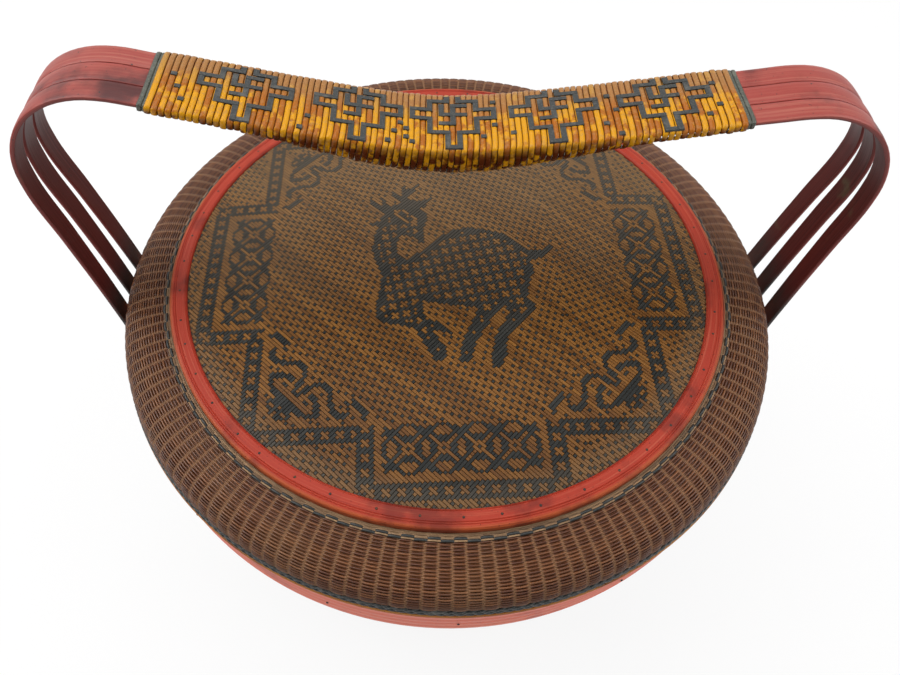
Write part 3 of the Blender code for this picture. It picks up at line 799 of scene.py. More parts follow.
def strand_recipe() -> NodeRecipe:
    """Strands that run round the basket's axis and wave in and out, as in a weave or a plait.

    Returns:
        The tree. Each of its points is one closed strand.
    """
    sizes = ("Waves", "Sway Waves", "Gain", "Width", "Thickness")
    tree = NodeRecipe("strands_round_the_basket", sizes, ("Samples", "Sides"))
    given = tree.given
    strands = tree.copies(tree.add("GeometryNodeCurvePrimitiveCircle",
                                   {"Resolution": given["Samples"], "Radius": 1.0}))
    x, y, _ = tree.separate(tree.add("GeometryNodeInputPosition"))
    angle = tree.math("ARCTAN2", y, x)
    turns = tree.plus(tree.times(angle, given["Waves"]), tree.named("phase"))
    wave = tree.times(tree.math("SINE", turns), given["Gain"])
    wave = tree.math("MAXIMUM", tree.math("MINIMUM", wave, 1.0), -1.0)
    turns = tree.plus(tree.times(angle, given["Sway Waves"]), tree.named("sway_phase"))
    outward = tree.times(wave, tree.named("bulge"))
    upward = tree.times(tree.math("SINE", turns), tree.named("sway"))
    lean = tree.named("lean")
    slope, rise = tree.math("COSINE", lean), tree.math("SINE", lean)
    across = tree.minus(tree.times(outward, slope), tree.times(upward, rise))
    above = tree.plus(tree.times(outward, rise), tree.times(upward, slope))
    reach = tree.plus(tree.named("reach"), across)
    level = tree.plus(tree.named("height"), above)
    facing = tree.combine(tree.times(x, slope), tree.times(y, slope), rise)
    strands = tree.add("GeometryNodeSetCurveNormal", {"Curve": strands, "Normal": facing}, mode="FREE")
    strands = tree.store(strands, "lift", wave)
    place = tree.combine(tree.times(x, reach), tree.times(y, reach), level)
    strands = tree.add("GeometryNodeSetPosition", {"Geometry": strands, "Position": place})
    tree.close(tree.swept(strands, "Thickness", "Width", caps=False), smooth=True)
    return tree


def loop_recipe() -> NodeRecipe:
    """Turns of flat cane wound round the grip: flat over the straps, a half oval below.

    Returns:
        The tree. Each of its points is one turn, which starts and ends on the underside.
    """
    sizes = ("Width", "Thickness", "Upper Power", "Lower Power", "Pitch")
    tree = NodeRecipe("cane_wound_round_a_grip", sizes, ("Samples", "Sides"))
    given = tree.given
    line = tree.add("GeometryNodeCurvePrimitiveLine",
                    {"Start": (0.0, 0.0, 0.0), "End": (1.0, 0.0, 0.0)}, mode="POINTS")
    line = tree.add("GeometryNodeResampleCurve", {"Curve": line, "Count": given["Samples"]}, mode="COUNT")
    turns = tree.copies(line)
    share, _, _ = tree.separate(tree.add("GeometryNodeInputPosition"))
    angle = tree.times(tree.plus(share, 0.25), -TURN)
    cosine, sine = tree.math("COSINE", angle), tree.math("SINE", angle)
    over = tree.math("GREATER_THAN", sine, 0.0)

    def blend(upper: object, lower: object) -> Socket:
        """One number over the straps and another under them."""
        return tree.plus(tree.times(over, upper), tree.times(tree.minus(1.0, over), lower))

    power = blend(given["Upper Power"], given["Lower Power"])
    reach = blend(tree.named("above"), tree.named("below"))

    def squared(value: object) -> Socket:
        """A sine or cosine drawn towards the corners of its box."""
        size = tree.math("POWER", tree.math("ABSOLUTE", value), tree.math("DIVIDE", 2.0, power))
        return tree.times(tree.math("SIGN", value), size)

    height = squared(sine)
    width = tree.times(squared(cosine), tree.named("half_width"))
    along = tree.named("along", VECTOR)
    up = tree.named("up", VECTOR)
    lean = tree.times(tree.minus(share, 0.5), given["Pitch"])
    place = tree.vector("ADD", tree.named("centre", VECTOR), tree.combine(0.0, width, 0.0))
    place = tree.vector("ADD", place, tree.vector("SCALE", up, tree.times(height, reach)))
    place = tree.vector("ADD", place, tree.vector("SCALE", along, lean))
    turns = tree.add("GeometryNodeSetCurveNormal", {"Curve": turns, "Normal": along}, mode="FREE")
    turns = tree.store(turns, "side", height)
    turns = tree.add("GeometryNodeSetPosition", {"Geometry": turns, "Position": place})
    tree.close(tree.swept(turns, "Width", "Thickness", caps=True), smooth=True)
    return tree


def repeat_recipe(kind: Repeated) -> NodeRecipe:
    """Bars or nail heads set at points.

    Args:
        kind: Which shape is repeated.

    Returns:
        The tree. Its points carry the vectors size, ahead and beside.
    """
    tree = NodeRecipe(f"{kind.name.lower()}s_at_points", ("End Chamfer", "Side Chamfer"), ())
    given = tree.given
    if kind is Repeated.BAR:
        shape = tree.add("GeometryNodeMeshCube", {"Size": (1.0, 1.0, 1.0), "Vertices X": 2,
                                                  "Vertices Y": 2, "Vertices Z": 2})
    else:
        shape = tree.add("GeometryNodeMeshUVSphere", {"Segments": 8, "Rings": 5, "Radius": 0.5})
    shape = tree.store(shape, "corner", tree.add("GeometryNodeInputPosition"), VECTOR)
    ahead = tree.named("ahead", VECTOR)
    beside = tree.named("beside", VECTOR)
    turned_to = tree.add("FunctionNodeAxesToRotation", {"Primary Axis": ahead, "Secondary Axis": beside},
                         primary_axis="X", secondary_axis="Y")
    placed = tree.copies(shape, Rotation=turned_to, Scale=tree.named("size", VECTOR))
    if kind is Repeated.BAR:
        cx, cy, cz = tree.separate(tree.named("corner", VECTOR))
        top = tree.math("GREATER_THAN", cz, 0.0)
        inward = tree.times(top, -1.0)
        back = tree.times(tree.times(tree.math("SIGN", cx), inward), given["End Chamfer"])
        narrow = tree.times(tree.times(tree.math("SIGN", cy), inward), given["Side Chamfer"])
        offset = tree.vector("ADD", tree.vector("SCALE", ahead, back), tree.vector("SCALE", beside, narrow))
        placed = tree.add("GeometryNodeSetPosition", {"Geometry": placed, "Offset": offset})
    tree.close(placed, smooth=kind is Repeated.NAIL)
    return tree


# The woven panel


@dataclass
class PanelPattern:
    """What is dark and what is brown in the panel, in strips: i counts brown ones, j dark ones.

    Distances are in millimetres from the pattern's middle, x to the right and y to the back.
    """

    pitch: float = 1.78
    square: int = 86             # half steps from the middle to the square border's centre line
    wing: int = 38               # to the centre lines of the borders beside each wing
    wing_end: int = 110          # to the centre line of the border that closes a wing
    band: int = 3                # half width of a border
    motif: int = 6               # from one cross in a border to the next
    margin: float = 2.6          # plain dark along the deer's edge
    outline: float = 0.7         # added round the deer, so that thin antlers stay whole
    stroke: float = 1.6          # half width of a scroll's stroke
    dot: float = 1.3             # radius of a scroll's dots and of the leaf's holes
    turned_from: float = 62.0    # to the right, where the plain ground's dots lean the other way
    knot_line: int = 93          # half steps from the middle out to a wing's row of knots
    knot_spacing: float = 17.5
    knot_disc: float = 13.0      # radius of a knot
    knot_reach: float = 40.0     # half length of the row
    lens: tuple[float, float] = (2.4, 5.0)        # half sizes of the brown lenses in a knot
    lens_out: float = 9.4        # middle of the lenses on a knot's outer and inner side
    ray: Triple = (0.9, 3.0, 9.5)                 # half width, start and end of a ray
    heart: tuple[float, float] = (1.5, 3.7)       # radii of the ring in a knot's middle

    DEER = ((-47, 30), (-40, 31), (-36, 39), (-44, 46), (-46, 50), (-37, 43), (-39, 53), (-34, 43),
            (-28, 46), (-25, 48), (-31, 53), (-32, 57), (-26, 51), (-25, 62), (-22, 58), (-14, 63),
            (-22, 54), (-23, 49), (-15, 48), (-8, 50), (-12, 44), (-15, 42), (-11, 35), (-12, 31),
            (-14, 25), (-14, 14), (-16, 13), (-18, 18), (-23, 20), (-26, 21), (-30, 16), (-31, 11),
            (-30, 4), (-26, 0), (-22, 1), (-14, 7), (-4, 16), (4, 22), (14, 24), (23, 22),
            (33, 19), (40, 12), (47, 6), (51, 4), (56, 5), (62, 9), (63, 8), (58, 2), (53, -1),
            (48, -2), (49, -10), (46, -17), (44, -23), (43, -30), (47, -35), (39, -44), (29, -54),
            (27, -62), (27, -66), (23, -74), (20, -73), (20, -67), (23, -56), (27, -48), (33, -40),
            (31, -33), (24, -39), (16, -50), (11, -59), (9, -66), (6, -70), (3, -69), (4, -61),
            (8, -52), (13, -42), (16, -34), (3, -33), (-6, -31), (-16, -29), (-17, -38),
            (-14, -43), (-9, -44), (-1, -51), (-10, -49), (-12, -51), (-6, -59), (-4, -66),
            (-10, -69), (-14, -61), (-18, -53), (-20, -48), (-28, -45), (-38, -43), (-41, -39),
            (-42, -34), (-40, -23), (-38, -10), (-42, 2), (-44, 9), (-42, 23), (-40, 28))
    SCROLL = ((5.5, 45.5), (4.9, 42.4), (7.4, 38.6), (11.5, 37.4), (16.5, 37.3), (20.9, 36.2),
              (23, 32.6), (23.2, 28.5), (21.3, 25.4), (18, 20))
    CURL = ((16.9, 27.4), (15, 29.4), (10.5, 30.6), (6.8, 30.4), (5.4, 28), (5.5, 25), (7.7, 22),
            (12.5, 17), (15, 14.5))
    HOOK = ((3, 54.5), (6.5, 56), (8, 52.5), (13, 49.5))
    DOTS = ((13.5, 24.5), (11.5, 45.5))
    LEAF = ((4, 13), (5.5, 18), (8.5, 17), (17, 8.5), (18, 5.5), (13, 4), (7.5, 5.5))
    HOLES = ((7.2, 13.8), (13.8, 7.2), (8, 8.6), (11.6, 11.6))
    EYE = (-23.7, 35.2)
    EYE_SIZE = (7.8, 3.8)
    EYE_HEADING = (0.77, -0.64)
    NECK = (-33.0, 28.0)

    @property
    def half(self) -> float:
        """Half step of the strips' grid along x or y."""
        return self.pitch / math.sqrt(2.0)

    @staticmethod
    def inside(points: Array, outline: tuple) -> Array:
        """Which points lie inside a closed outline.

        Args:
            points: Rows of x, y.
            outline: Corners of the outline.

        Returns:
            True for each point inside.
        """
        corners = np.array(outline, float)
        after = np.roll(corners, -1, axis=0)
        x, y = points[:, :1], points[:, 1:]
        crosses = (corners[:, 1] > y) != (after[:, 1] > y)
        rise = after[:, 1] - corners[:, 1]
        rise = np.where(rise == 0, 1e-9, rise)
        reach = corners[:, 0] + (y - corners[:, 1]) * (after[:, 0] - corners[:, 0]) / rise
        return (np.sum(crosses & (x < reach), axis=1) % 2) == 1

    @staticmethod
    def distance(points: Array, line: tuple, closed: bool = False) -> Array:
        """Distance of each point from a line of straight runs.

        Args:
            points: Rows of x, y.
            line: Corners of the line.
            closed: Whether the last corner joins the first.

        Returns:
            One distance for each point.
        """
        corners = np.array(line, float)
        if closed:
            corners = np.vstack([corners, corners[:1]])
        nearest = np.full(len(points), np.inf)
        for start, end in zip(corners[:-1], corners[1:]):
            run = end - start
            share = np.clip((points - start) @ run / max(run @ run, 1e-9), 0.0, 1.0)
            nearest = np.minimum(nearest, np.linalg.norm(points - start - share[:, None] * run, axis=1))
        return nearest

    def borders(self, a: Array, b: Array) -> tuple[Array, Array, Array]:
        """Where the straight borders are, and the crosses in them.

        Args:
            a: Half steps to the right.
            b: Half steps to the back.

        Returns:
            Which cells are in a border, which are a cross, and which are inside a wing.
        """
        long, short = np.maximum(abs(a), abs(b)), np.minimum(abs(a), abs(b))
        wing = (short <= self.wing + self.band) & (long >= self.square - self.band)
        wing &= long <= self.wing_end + self.band
        frame_band = (abs(long - self.square) <= self.band) & ~wing
        side_band = wing & (abs(short - self.wing) <= self.band)
        end_band = wing & (abs(long - self.wing_end) <= self.band)
        band = frame_band | side_band | end_band
        cross = np.zeros(len(a), bool)
        for line, other, where in ((long, short, frame_band | end_band), (short, long, side_band)):
            centre = np.where(where & (line > self.wing_end - self.band - 1), self.wing_end, self.square)
            if line is short:
                centre = np.full(len(a), self.wing)
            phase = (other + self.motif // 2) % self.motif - self.motif // 2
            offset = line - centre
            cross |= where & (((offset == 0) & (phase == 0)) | ((abs(offset) == 1) & (abs(phase) == 1)))
        return band, cross, wing & ~band

    def knots(self, a: Array, b: Array) -> Array:
        """Interlaced ring knots that fill each wing.

        Args:
            a: Half steps to the right.
            b: Half steps to the back.

        Returns:
            True for each dark cell.
        """
        along = np.where(abs(a) > abs(b), b, a) * self.half
        outward = (np.maximum(abs(a), abs(b)) - self.knot_line) * self.half
        spacing = self.knot_spacing
        local = (along + 2.0 * spacing) % spacing - spacing / 2.0
        radius = np.hypot(local, outward)
        narrow, wide = self.lens
        beside = np.hypot((abs(local) - spacing / 2.0) / narrow, outward / wide)
        above = np.hypot(local / wide, (abs(outward) - self.lens_out) / narrow)
        half_width, start, end = self.ray
        ray = (abs(abs(local) - abs(outward)) < half_width) & (radius > start) & (radius < end)
        heart = (radius > self.heart[0]) & (radius < self.heart[1])
        brown = (beside < 1.0) | (above < 1.0) | ray | heart
        return (radius < self.knot_disc) & ~brown & (abs(along) < self.knot_reach)

    def figures(self, spot: Array) -> Array:
        """The deer and the four corner scrolls.

        Args:
            spot: Rows of x, y.

        Returns:
            True for each dark cell.
        """
        corner = self.square - self.band - 1
        folded = corner * self.half - np.abs(spot)
        dark = self.inside(spot, self.DEER)
        dark |= self.distance(spot, self.DEER, closed=True) < self.outline
        x, y = spot[:, 0] - self.EYE[0], spot[:, 1] - self.EYE[1]
        ahead, aside = self.EYE_HEADING
        eye = np.hypot((ahead * x + aside * y) / self.EYE_SIZE[0],
                       (ahead * y - aside * x) / self.EYE_SIZE[1])
        dark &= ~(((eye < 1.1) & (eye > 0.7)) | (eye < 0.25))
        for swap in (folded, folded[:, ::-1]):
            for line in (self.SCROLL, self.CURL, self.HOOK):
                dark |= self.distance(swap, line) < self.stroke
            for line in self.DOTS:
                dark |= self.distance(swap, (line, line)) < self.dot
        leaf = self.inside(folded, self.LEAF)
        for line in self.HOLES:
            leaf &= self.distance(folded, (line, line)) > self.dot
        return dark | leaf

    def weave(self, i: Array, j: Array) -> Array:
        """Which strip lies on top at each crossing.

        Args:
            i: Number of the brown strip.
            j: Number of the dark strip.

        Returns:
            True where the dark strip is on top.
        """
        a, b = i + j, i - j
        spot = np.stack([a, b], axis=1) * self.half
        band, cross, wing = self.borders(a, b)
        dark = self.figures(spot) | (wing & self.knots(a, b))
        near = dark.copy()
        grid = {cell: number for number, cell in enumerate(zip(i.tolist(), j.tolist()))}
        for number in np.nonzero(dark | band)[0]:
            for di, dj in ((1, 0), (-1, 0), (0, 1), (0, -1), (1, 1), (-1, -1)):
                other = grid.get((i[number] + di, j[number] + dj))
                if other is not None:
                    near[other] = True
        turned_over = spot[:, 0] > self.turned_from
        dots = np.where(turned_over, (2 * j - i) % 5 == 0, (2 * i - j) % 5 == 0)
        stars = np.zeros(len(i), bool)
        for di, dj in ((0, 0), (1, 0), (-1, 0), (0, 1), (0, -1)):
            stars |= (3 * (j + dj) - 2 * (i + di)) % 13 == 0
        starred = (spot[:, 0] < self.NECK[0]) | (spot[:, 1] < self.NECK[1])
        body = self.inside(spot, self.DEER) & starred
        body &= self.distance(spot, self.DEER, closed=True) > self.margin
        dark |= dots & ~near & ~wing & ~band
        dark |= band & ~cross
        return dark & ~(stars & body)


@dataclass
class WovenPanel:
    """The disc in the lid: split bamboo strips, brown one way and dark the other."""

    pattern: PanelPattern
    bar: NodeRecipe
    middle: tuple[float, float] = (0.0010, -0.0044)
    turn: float = math.radians(1.94)
    thickness: float = 0.0005
    raised: float = 0.0001       # the strips' middle above the backing
    uneven: float = 0.00006      # the highest that a strip lies above the lowest
    strip_share: float = 0.95    # of the pitch, the width of a strip
    overlap_share: float = 0.12  # of the pitch, added to a run's length
    end_chamfer: float = 0.00030
    side_chamfer: float = 0.00016
    probe: float = 0.0005        # step to measure the surface's slope with
    strips_drawn: int = 4000     # random tones drawn, more than there are strips
    seed: int = 7

    def surface(self, x: Array, y: Array) -> Array:
        """Height of the crowned disc."""
        panel = Ring.of("lid_panel")
        points = node_points("lid_panel")
        radii = np.hypot(points[:, 0], points[:, 1])
        edge = points[radii > panel.outer - 0.0001][:, 2].max()
        return edge + (panel.high - edge) * (1.0 - (x * x + y * y) / panel.outer ** 2)

    def runs(self, dark: bool) -> tuple[Array, ...]:
        """Stretches where one set of strips lies on top.

        Args:
            dark: Whether the dark strips are wanted, or the brown ones.

        Returns:
            Middle of each run in strip counts (i, j), its length in strips, and its strip's number.
        """
        reach = int(Ring.of("lid_hoop").inner / MM / self.pattern.pitch) + 2
        i, j = np.meshgrid(np.arange(-reach, reach + 1), np.arange(-reach, reach + 1), indexing="ij")
        flat_i, flat_j = i.ravel(), j.ravel()
        x, y = self.place(flat_i.astype(float), flat_j.astype(float))
        seen = np.hypot(x, y) < Ring.of("lid_hoop").inner - 0.0002
        top = np.zeros(len(flat_i), bool)
        top[seen] = self.pattern.weave(flat_i[seen], flat_j[seen])
        chosen = (seen & (top if dark else ~top)).reshape(i.shape)
        rows = chosen.T if dark else chosen
        starts, lengths, strips = [], [], []
        for strip, row in enumerate(rows):
            edges = np.flatnonzero(np.diff(np.concatenate([[0], row.astype(int), [0]])))
            for begin, end in zip(edges[::2], edges[1::2]):
                starts.append(begin - reach + (end - begin - 1) / 2.0)
                lengths.append(end - begin)
                strips.append(strip - reach)
        along, number = np.array(starts), np.array(strips, float)
        pair = (along, number) if dark else (number, along)
        return pair[0], pair[1], np.array(lengths, float), number

    def place(self, i: Array, j: Array) -> tuple[Array, Array]:
        """Where a crossing lies in the basket's own x and y."""
        u, v = (i + j) * self.pattern.half * MM, (i - j) * self.pattern.half * MM
        cosine, sine = math.cos(self.turn), math.sin(self.turn)
        return self.middle[0] + u * cosine - v * sine, self.middle[1] + u * sine + v * cosine

    def strips(self, name: str, dark: bool, material: Material) -> Piece:
        """Make the visible stretches of one set of strips.

        Args:
            name: Name of the piece.
            dark: Whether these are the dark strips.
            material: Their finish.

        Returns:
            One mesh of all of them.
        """
        i, j, length, number = self.runs(dark)
        x, y = self.place(i, j)
        rng = np.random.default_rng(self.seed + int(dark))
        heading = self.turn + (math.pi / 4 if dark else -math.pi / 4)
        dx, dy = math.cos(heading), math.sin(heading)
        step = self.probe
        dz = (self.surface(x + dx * step, y + dy * step) - self.surface(x, y)) / step
        tilt = (self.surface(x - dy * step, y + dx * step) - self.surface(x, y)) / step
        ones = np.ones(len(x))
        ahead = unit(np.stack([dx * ones, dy * ones, dz], axis=1))
        beside = unit(np.stack([-dy * ones, dx * ones, tilt], axis=1))
        pitch = self.pattern.pitch * MM
        own = rng.random(self.strips_drawn)[number.astype(int) + self.strips_drawn // 2]
        width = pitch * self.strip_share * (0.96 + 0.06 * own)
        size = np.stack([(length + self.overlap_share) * pitch, width, self.thickness * ones], axis=1)
        height = self.surface(x, y) + self.raised + self.uneven * rng.random(len(x))
        tone = np.clip(0.75 * own + 0.25 * rng.random(len(x)), 0.0, 1.0)
        return self.bar.make(name, np.stack([x, y, height], axis=1),
                             {"ahead": ahead, "beside": beside, "size": size, "tone": tone},
                             {"End Chamfer": self.end_chamfer, "Side Chamfer": self.side_chamfer,
                              "Material": material})

    def build(self) -> list[Piece]:
        """Make both sets of strips and dress the backing.

        Returns:
            The two new pieces.
        """
        brown = SplitStrip("panel_brown_strips", (0.130, 0.050, 0.009), (0.265, 0.112, 0.020),
                           (0.060, 0.022, 0.007), 1.0, (0.170, 0.115, 0.064))
        black = SplitStrip("panel_dark_strips", (0.014, 0.016, 0.015), (0.038, 0.038, 0.034),
                           (0.008, 0.009, 0.009), -1.0, (0.100, 0.080, 0.058))
        pieces = [self.strips("panel_brown_weave", False, brown.material()),
                  self.strips("panel_dark_weave", True, black.material())]
        backing = SplitStrip("panel_backing", (0.040, 0.026, 0.014), (0.090, 0.055, 0.028),
                             (0.018, 0.012, 0.008), 1.0)
        paint(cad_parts["lid_panel"], backing.material())
        for piece in pieces:
            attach(piece, "lid")
        return pieces


# The lid's hoop, shoulder and rim


@dataclass
class Dome:
    """Outer face of the lid's shoulder: a superellipse from the hoop to the widest weave."""

    drop: float = 0.0285         # hoop top down to the widest weave
    squareness: float = 3.3
    steps: int = 192             # along the face
    foot_gap: float = 0.0005     # from the widest weave down to the straight wall's first point

    def __post_init__(self) -> None:
        """Read the shoulder's size from the frame."""
        self.ring = Ring.of("lid_shoulder")
        self.top = Ring.of("lid_hoop").high
        self.wide = self.top - self.drop

    def curve(self, inset: float = 0.0) -> Array:
        """Points of the face from the hoop's foot down to the widest radius.

        Args:
            inset: How far the curve lies inside the real face.

        Returns:
            Rows of radius, height.
        """
        angle = np.linspace(0.0, math.pi / 2, self.steps + 1)
        power = 2.0 / self.squareness
        start, end = self.ring.inner, self.ring.outer
        radius = start + (end - start) * np.sin(angle) ** power
        height = self.wide + (self.ring.high - self.wide) * np.cos(angle) ** power
        points = np.stack([radius, height], axis=1)
        return points - inset * self.normals(points)

    @staticmethod
    def normals(points: Array) -> Array:
        """Outward normals along a curve of (radius, height) that runs outwards and down."""
        run = np.gradient(points, axis=0)
        return unit(np.stack([-run[:, 1], run[:, 0]], axis=1))

    def rows(self, start_radius: float, end_height: float, spacing: float) -> tuple[Array, ...]:
        """Evenly spaced places down the face.

        Args:
            start_radius: Radius where they start.
            end_height: Height where they end.
            spacing: Distance between two of them along the face.

        Returns:
            Radius, height and lean of the normal at each.
        """
        outer = self.ring.outer
        points = np.vstack([self.curve(), [outer, self.wide - self.foot_gap], [outer, self.ring.low]])
        normal = self.normals(points)
        lean = np.arctan2(normal[:, 1], normal[:, 0])
        length = lengths_along(points)
        first = np.interp(start_radius, points[:, 0], length)
        last = np.interp(end_height, points[::-1, 1], length[::-1])
        where = np.linspace(first, last, int(round((last - first) / spacing)) + 1)
        return (np.interp(where, length, points[:, 0]), np.interp(where, length, points[:, 1]),
                np.interp(where, length, lean))


@dataclass(frozen=True)
class Weave:
    """Rows of round cane woven over and under the stakes, each other row the other way round."""

    strand: NodeRecipe
    spacing: float               # between the middles of two rows
    width: float
    thickness: float
    bulge: float                 # how far a row bows out over a stake
    seed: int
    samples: int = 6             # points to one wave of a row
    proud: float = 0.0002        # outside of a row above the wall's face
    gain: float = 1.4            # how much blunter than a sine's the waves' tops are

    @property
    def sunk(self) -> float:
        """Depth of a row's middle under the wall's face."""
        return self.thickness / 2 - self.proud

    def rows(self, name: str, radius: Array, height: Array, lean: Array, material: Material) -> Piece:
        """Weave one strand at each row.

        Args:
            name: Name of the piece.
            radius: Radius of each row's middle.
            height: Height of each row.
            lean: Angle of the wall's normal above the horizontal at each row.
            material: Finish of the cane.

        Returns:
            One mesh of all rows.
        """
        count = len(radius)
        phase = math.pi * (np.arange(count) % 2) + math.pi / self.samples
        return self.strand.make(name, count, {
            "reach": radius, "height": height, "lean": lean, "phase": phase,
            "bulge": np.full(count, self.bulge), "sway": np.zeros(count), "sway_phase": np.zeros(count),
            "tone": np.random.default_rng(self.seed).random(count)},
            {"Samples": STAKES // 2 * self.samples, "Waves": STAKES / 2.0, "Sway Waves": 1.0,
             "Gain": self.gain, "Width": self.width, "Thickness": self.thickness, "Sides": 4,
             "Material": material})


@dataclass
class Shoulder:
    """The lid's domed weave and the rope band at its top."""

    strand: NodeRecipe
    dome: Dome
    rope_width: float = 0.0043   # hoop's foot out to the first woven row
    braid_gap: float = 0.0004    # last woven row above the braid
    rope_samples: int = 8        # points to one wave of a rope's strand
    dark_places: tuple[float, ...] = (0.0023, 0.0034)   # out from the hoop's foot
    dark_lift: float = 0.0001    # strands' middle above the dome
    dark_bulge: float = 0.0009
    dark_width: float = 0.0014
    dark_thickness: float = 0.0011
    straw_places: tuple[float, ...] = (0.0001, 0.0008, 0.0015, 0.0023, 0.0034)
    straw_lift: float = 0.0003
    straw_bulges: tuple[float, ...] = (0.0, 0.0001, 0.0002, 0.0004, 0.0004)
    straw_sways: tuple[float, ...] = (0.0001, 0.0001, 0.0003, 0.0001, 0.0001)
    straw_width: float = 0.0010
    straw_thickness: float = 0.0006

    def weave(self, material: Material) -> Piece:
        """Make the woven rows of the dome.

        Args:
            material: Their finish.

        Returns:
            One mesh of all rows.
        """
        cane = Weave(self.strand, 0.00077, 0.00125, 0.0009, 0.00044, seed=11)
        start = Ring.of("lid_twining").inner + self.rope_width
        end = Ring.of("lid_braid").high + self.braid_gap
        radius, height, lean = self.dome.rows(start, end, cane.spacing)
        return cane.rows("lid_shoulder_weave", radius - cane.sunk * np.cos(lean),
                         height - cane.sunk * np.sin(lean), lean, material)

    def backing(self, material: Material) -> Piece:
        """Make the shoulder's inner layer, which the rows are laid over.

        Args:
            material: Its finish.

        Returns:
            The ring.
        """
        outer = self.dome.curve(inset=BACKING_DEPTH)[::6]
        inner = self.dome.curve(inset=WOVEN_WALL)[::6]
        foot = self.dome.ring.low
        edge = [(outer[-1, 0], foot), (inner[-1, 0], foot)]
        outline = [*map(tuple, outer), *edge, *map(tuple, inner[::-1])]
        return turned("lid_shoulder_backing", outline, material)

    def rope(self, dark: Material, straw: Material) -> list[Piece]:
        """Make the twined band at the foot of the hoop: dark dashes in two rows between straws.

        Args:
            dark: Finish of the dark strands.
            straw: Finish of the straws.

        Returns:
            Both pieces.
        """
        band = Ring.of("lid_twining")
        radius, height, lean = self.dome.rows(band.inner, band.low - 0.0002, 0.0002)

        def laid(outwards: tuple[float, ...], lift: float) -> dict[str, Array]:
            """Places on the dome at these distances out from the hoop's foot."""
            reach = band.inner + np.array(outwards)
            level, slope = np.interp(reach, radius, height), np.interp(reach, radius, lean)
            return {"reach": reach + lift * np.cos(slope), "height": level + lift * np.sin(slope),
                    "lean": slope, "sway_phase": np.zeros(len(reach))}

        numbers = {"Samples": STAKES // 2 * self.rope_samples, "Waves": STAKES / 2.0, "Sides": 6,
                   "Sway Waves": STAKES / 2.0}
        rows = self.strand.make("lid_rope_dark", len(self.dark_places), {
            **laid(self.dark_places, self.dark_lift), "phase": math.pi * np.array([0, 1]),
            "bulge": np.full(2, self.dark_bulge), "sway": np.zeros(2), "tone": np.array([0.8, 0.2])},
            {**numbers, "Gain": 1.8, "Width": self.dark_width, "Thickness": self.dark_thickness,
             "Material": dark})
        straws = self.strand.make("lid_rope_straw", len(self.straw_places), {
            **laid(self.straw_places, self.straw_lift), "phase": math.pi * np.array([1, 1, 0, 1, 0]),
            "bulge": np.array(self.straw_bulges), "sway": np.array(self.straw_sways),
            "tone": np.array([0.1, 0.5, 0.3, 0.9, 0.9])},
            {**numbers, "Gain": 1.4, "Width": self.straw_width, "Thickness": self.straw_thickness,
             "Material": straw})
        return [rows, straws]

    def build(self) -> list[Piece]:
        """Make and dress the whole shoulder.

        Returns:
            Its pieces.
        """
        cane = WovenCane("lid_weave_cane")
        dark = DarkCane("lid_rope_cane", share=0.15)
        straw = PlainBamboo("lid_rope_binding_cane", (0.340, 0.205, 0.100), (0.140, 0.082, 0.042))
        under = WovenCane("lid_stake_cane", (0.120, 0.050, 0.024), (0.210, 0.105, 0.050))
        weave = self.weave(cane.material())
        backing = self.backing(under.material())
        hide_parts("lid_shoulder")
        ropes = self.rope(dark.material(), straw.material())
        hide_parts("lid_twining")
        for piece in (weave, backing):
            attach(piece, "lid")
        for piece in ropes:
            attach(piece, "lid")
        return [weave, backing, *ropes]


@dataclass(frozen=True)
class Plait:
    """Plait of long strands in the place of a CAD rope ring."""

    strand: NodeRecipe
    node: str                    # the CAD node that it replaces
    body: str                    # the CAD body that it rides on
    waves: int                   # of one strand round the basket
    bulge: float                 # how far the plait stands out of the wall
    lean: float = 0.0            # of its face, back from upright
    count: int = 4
    samples: int = 12            # points to one wave
    width_share: float = 0.36    # of the plait's height, the width of a strand
    thickness_share: float = 0.7   # of the bulge
    wave_share: float = 0.25     # of the bulge, how far a strand bows in and out

    def build(self, name: str, material: Material) -> Piece:
        """Make and dress the plait.

        Args:
            name: Name of the piece.
            material: Its finish.

        Returns:
            The plait.
        """
        ring = Ring.of(self.node)
        ones = np.ones(self.count)
        phases = np.arange(self.count) * TURN / self.count
        tall = ring.high - ring.low
        width = tall * self.width_share
        radius = ring.inner + self.bulge * 0.5 - math.sin(self.lean) * tall / 2
        piece = self.strand.make(name, self.count, {
            "reach": radius * ones, "height": (ring.low + ring.high) / 2 * ones,
            "lean": self.lean * ones, "phase": 2.0 * phases, "bulge": self.bulge * self.wave_share * ones,
            "sway": (tall - width) / 2 * ones, "sway_phase": phases,
            "tone": np.linspace(0.2, 0.8, self.count)},
            {"Samples": self.waves * self.samples, "Waves": 2.0 * self.waves,
             "Sway Waves": float(self.waves), "Gain": 1.0, "Width": width,
             "Thickness": self.bulge * self.thickness_share, "Sides": 6, "Material": material})
        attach(piece, self.body)
        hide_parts(self.node)
        return piece


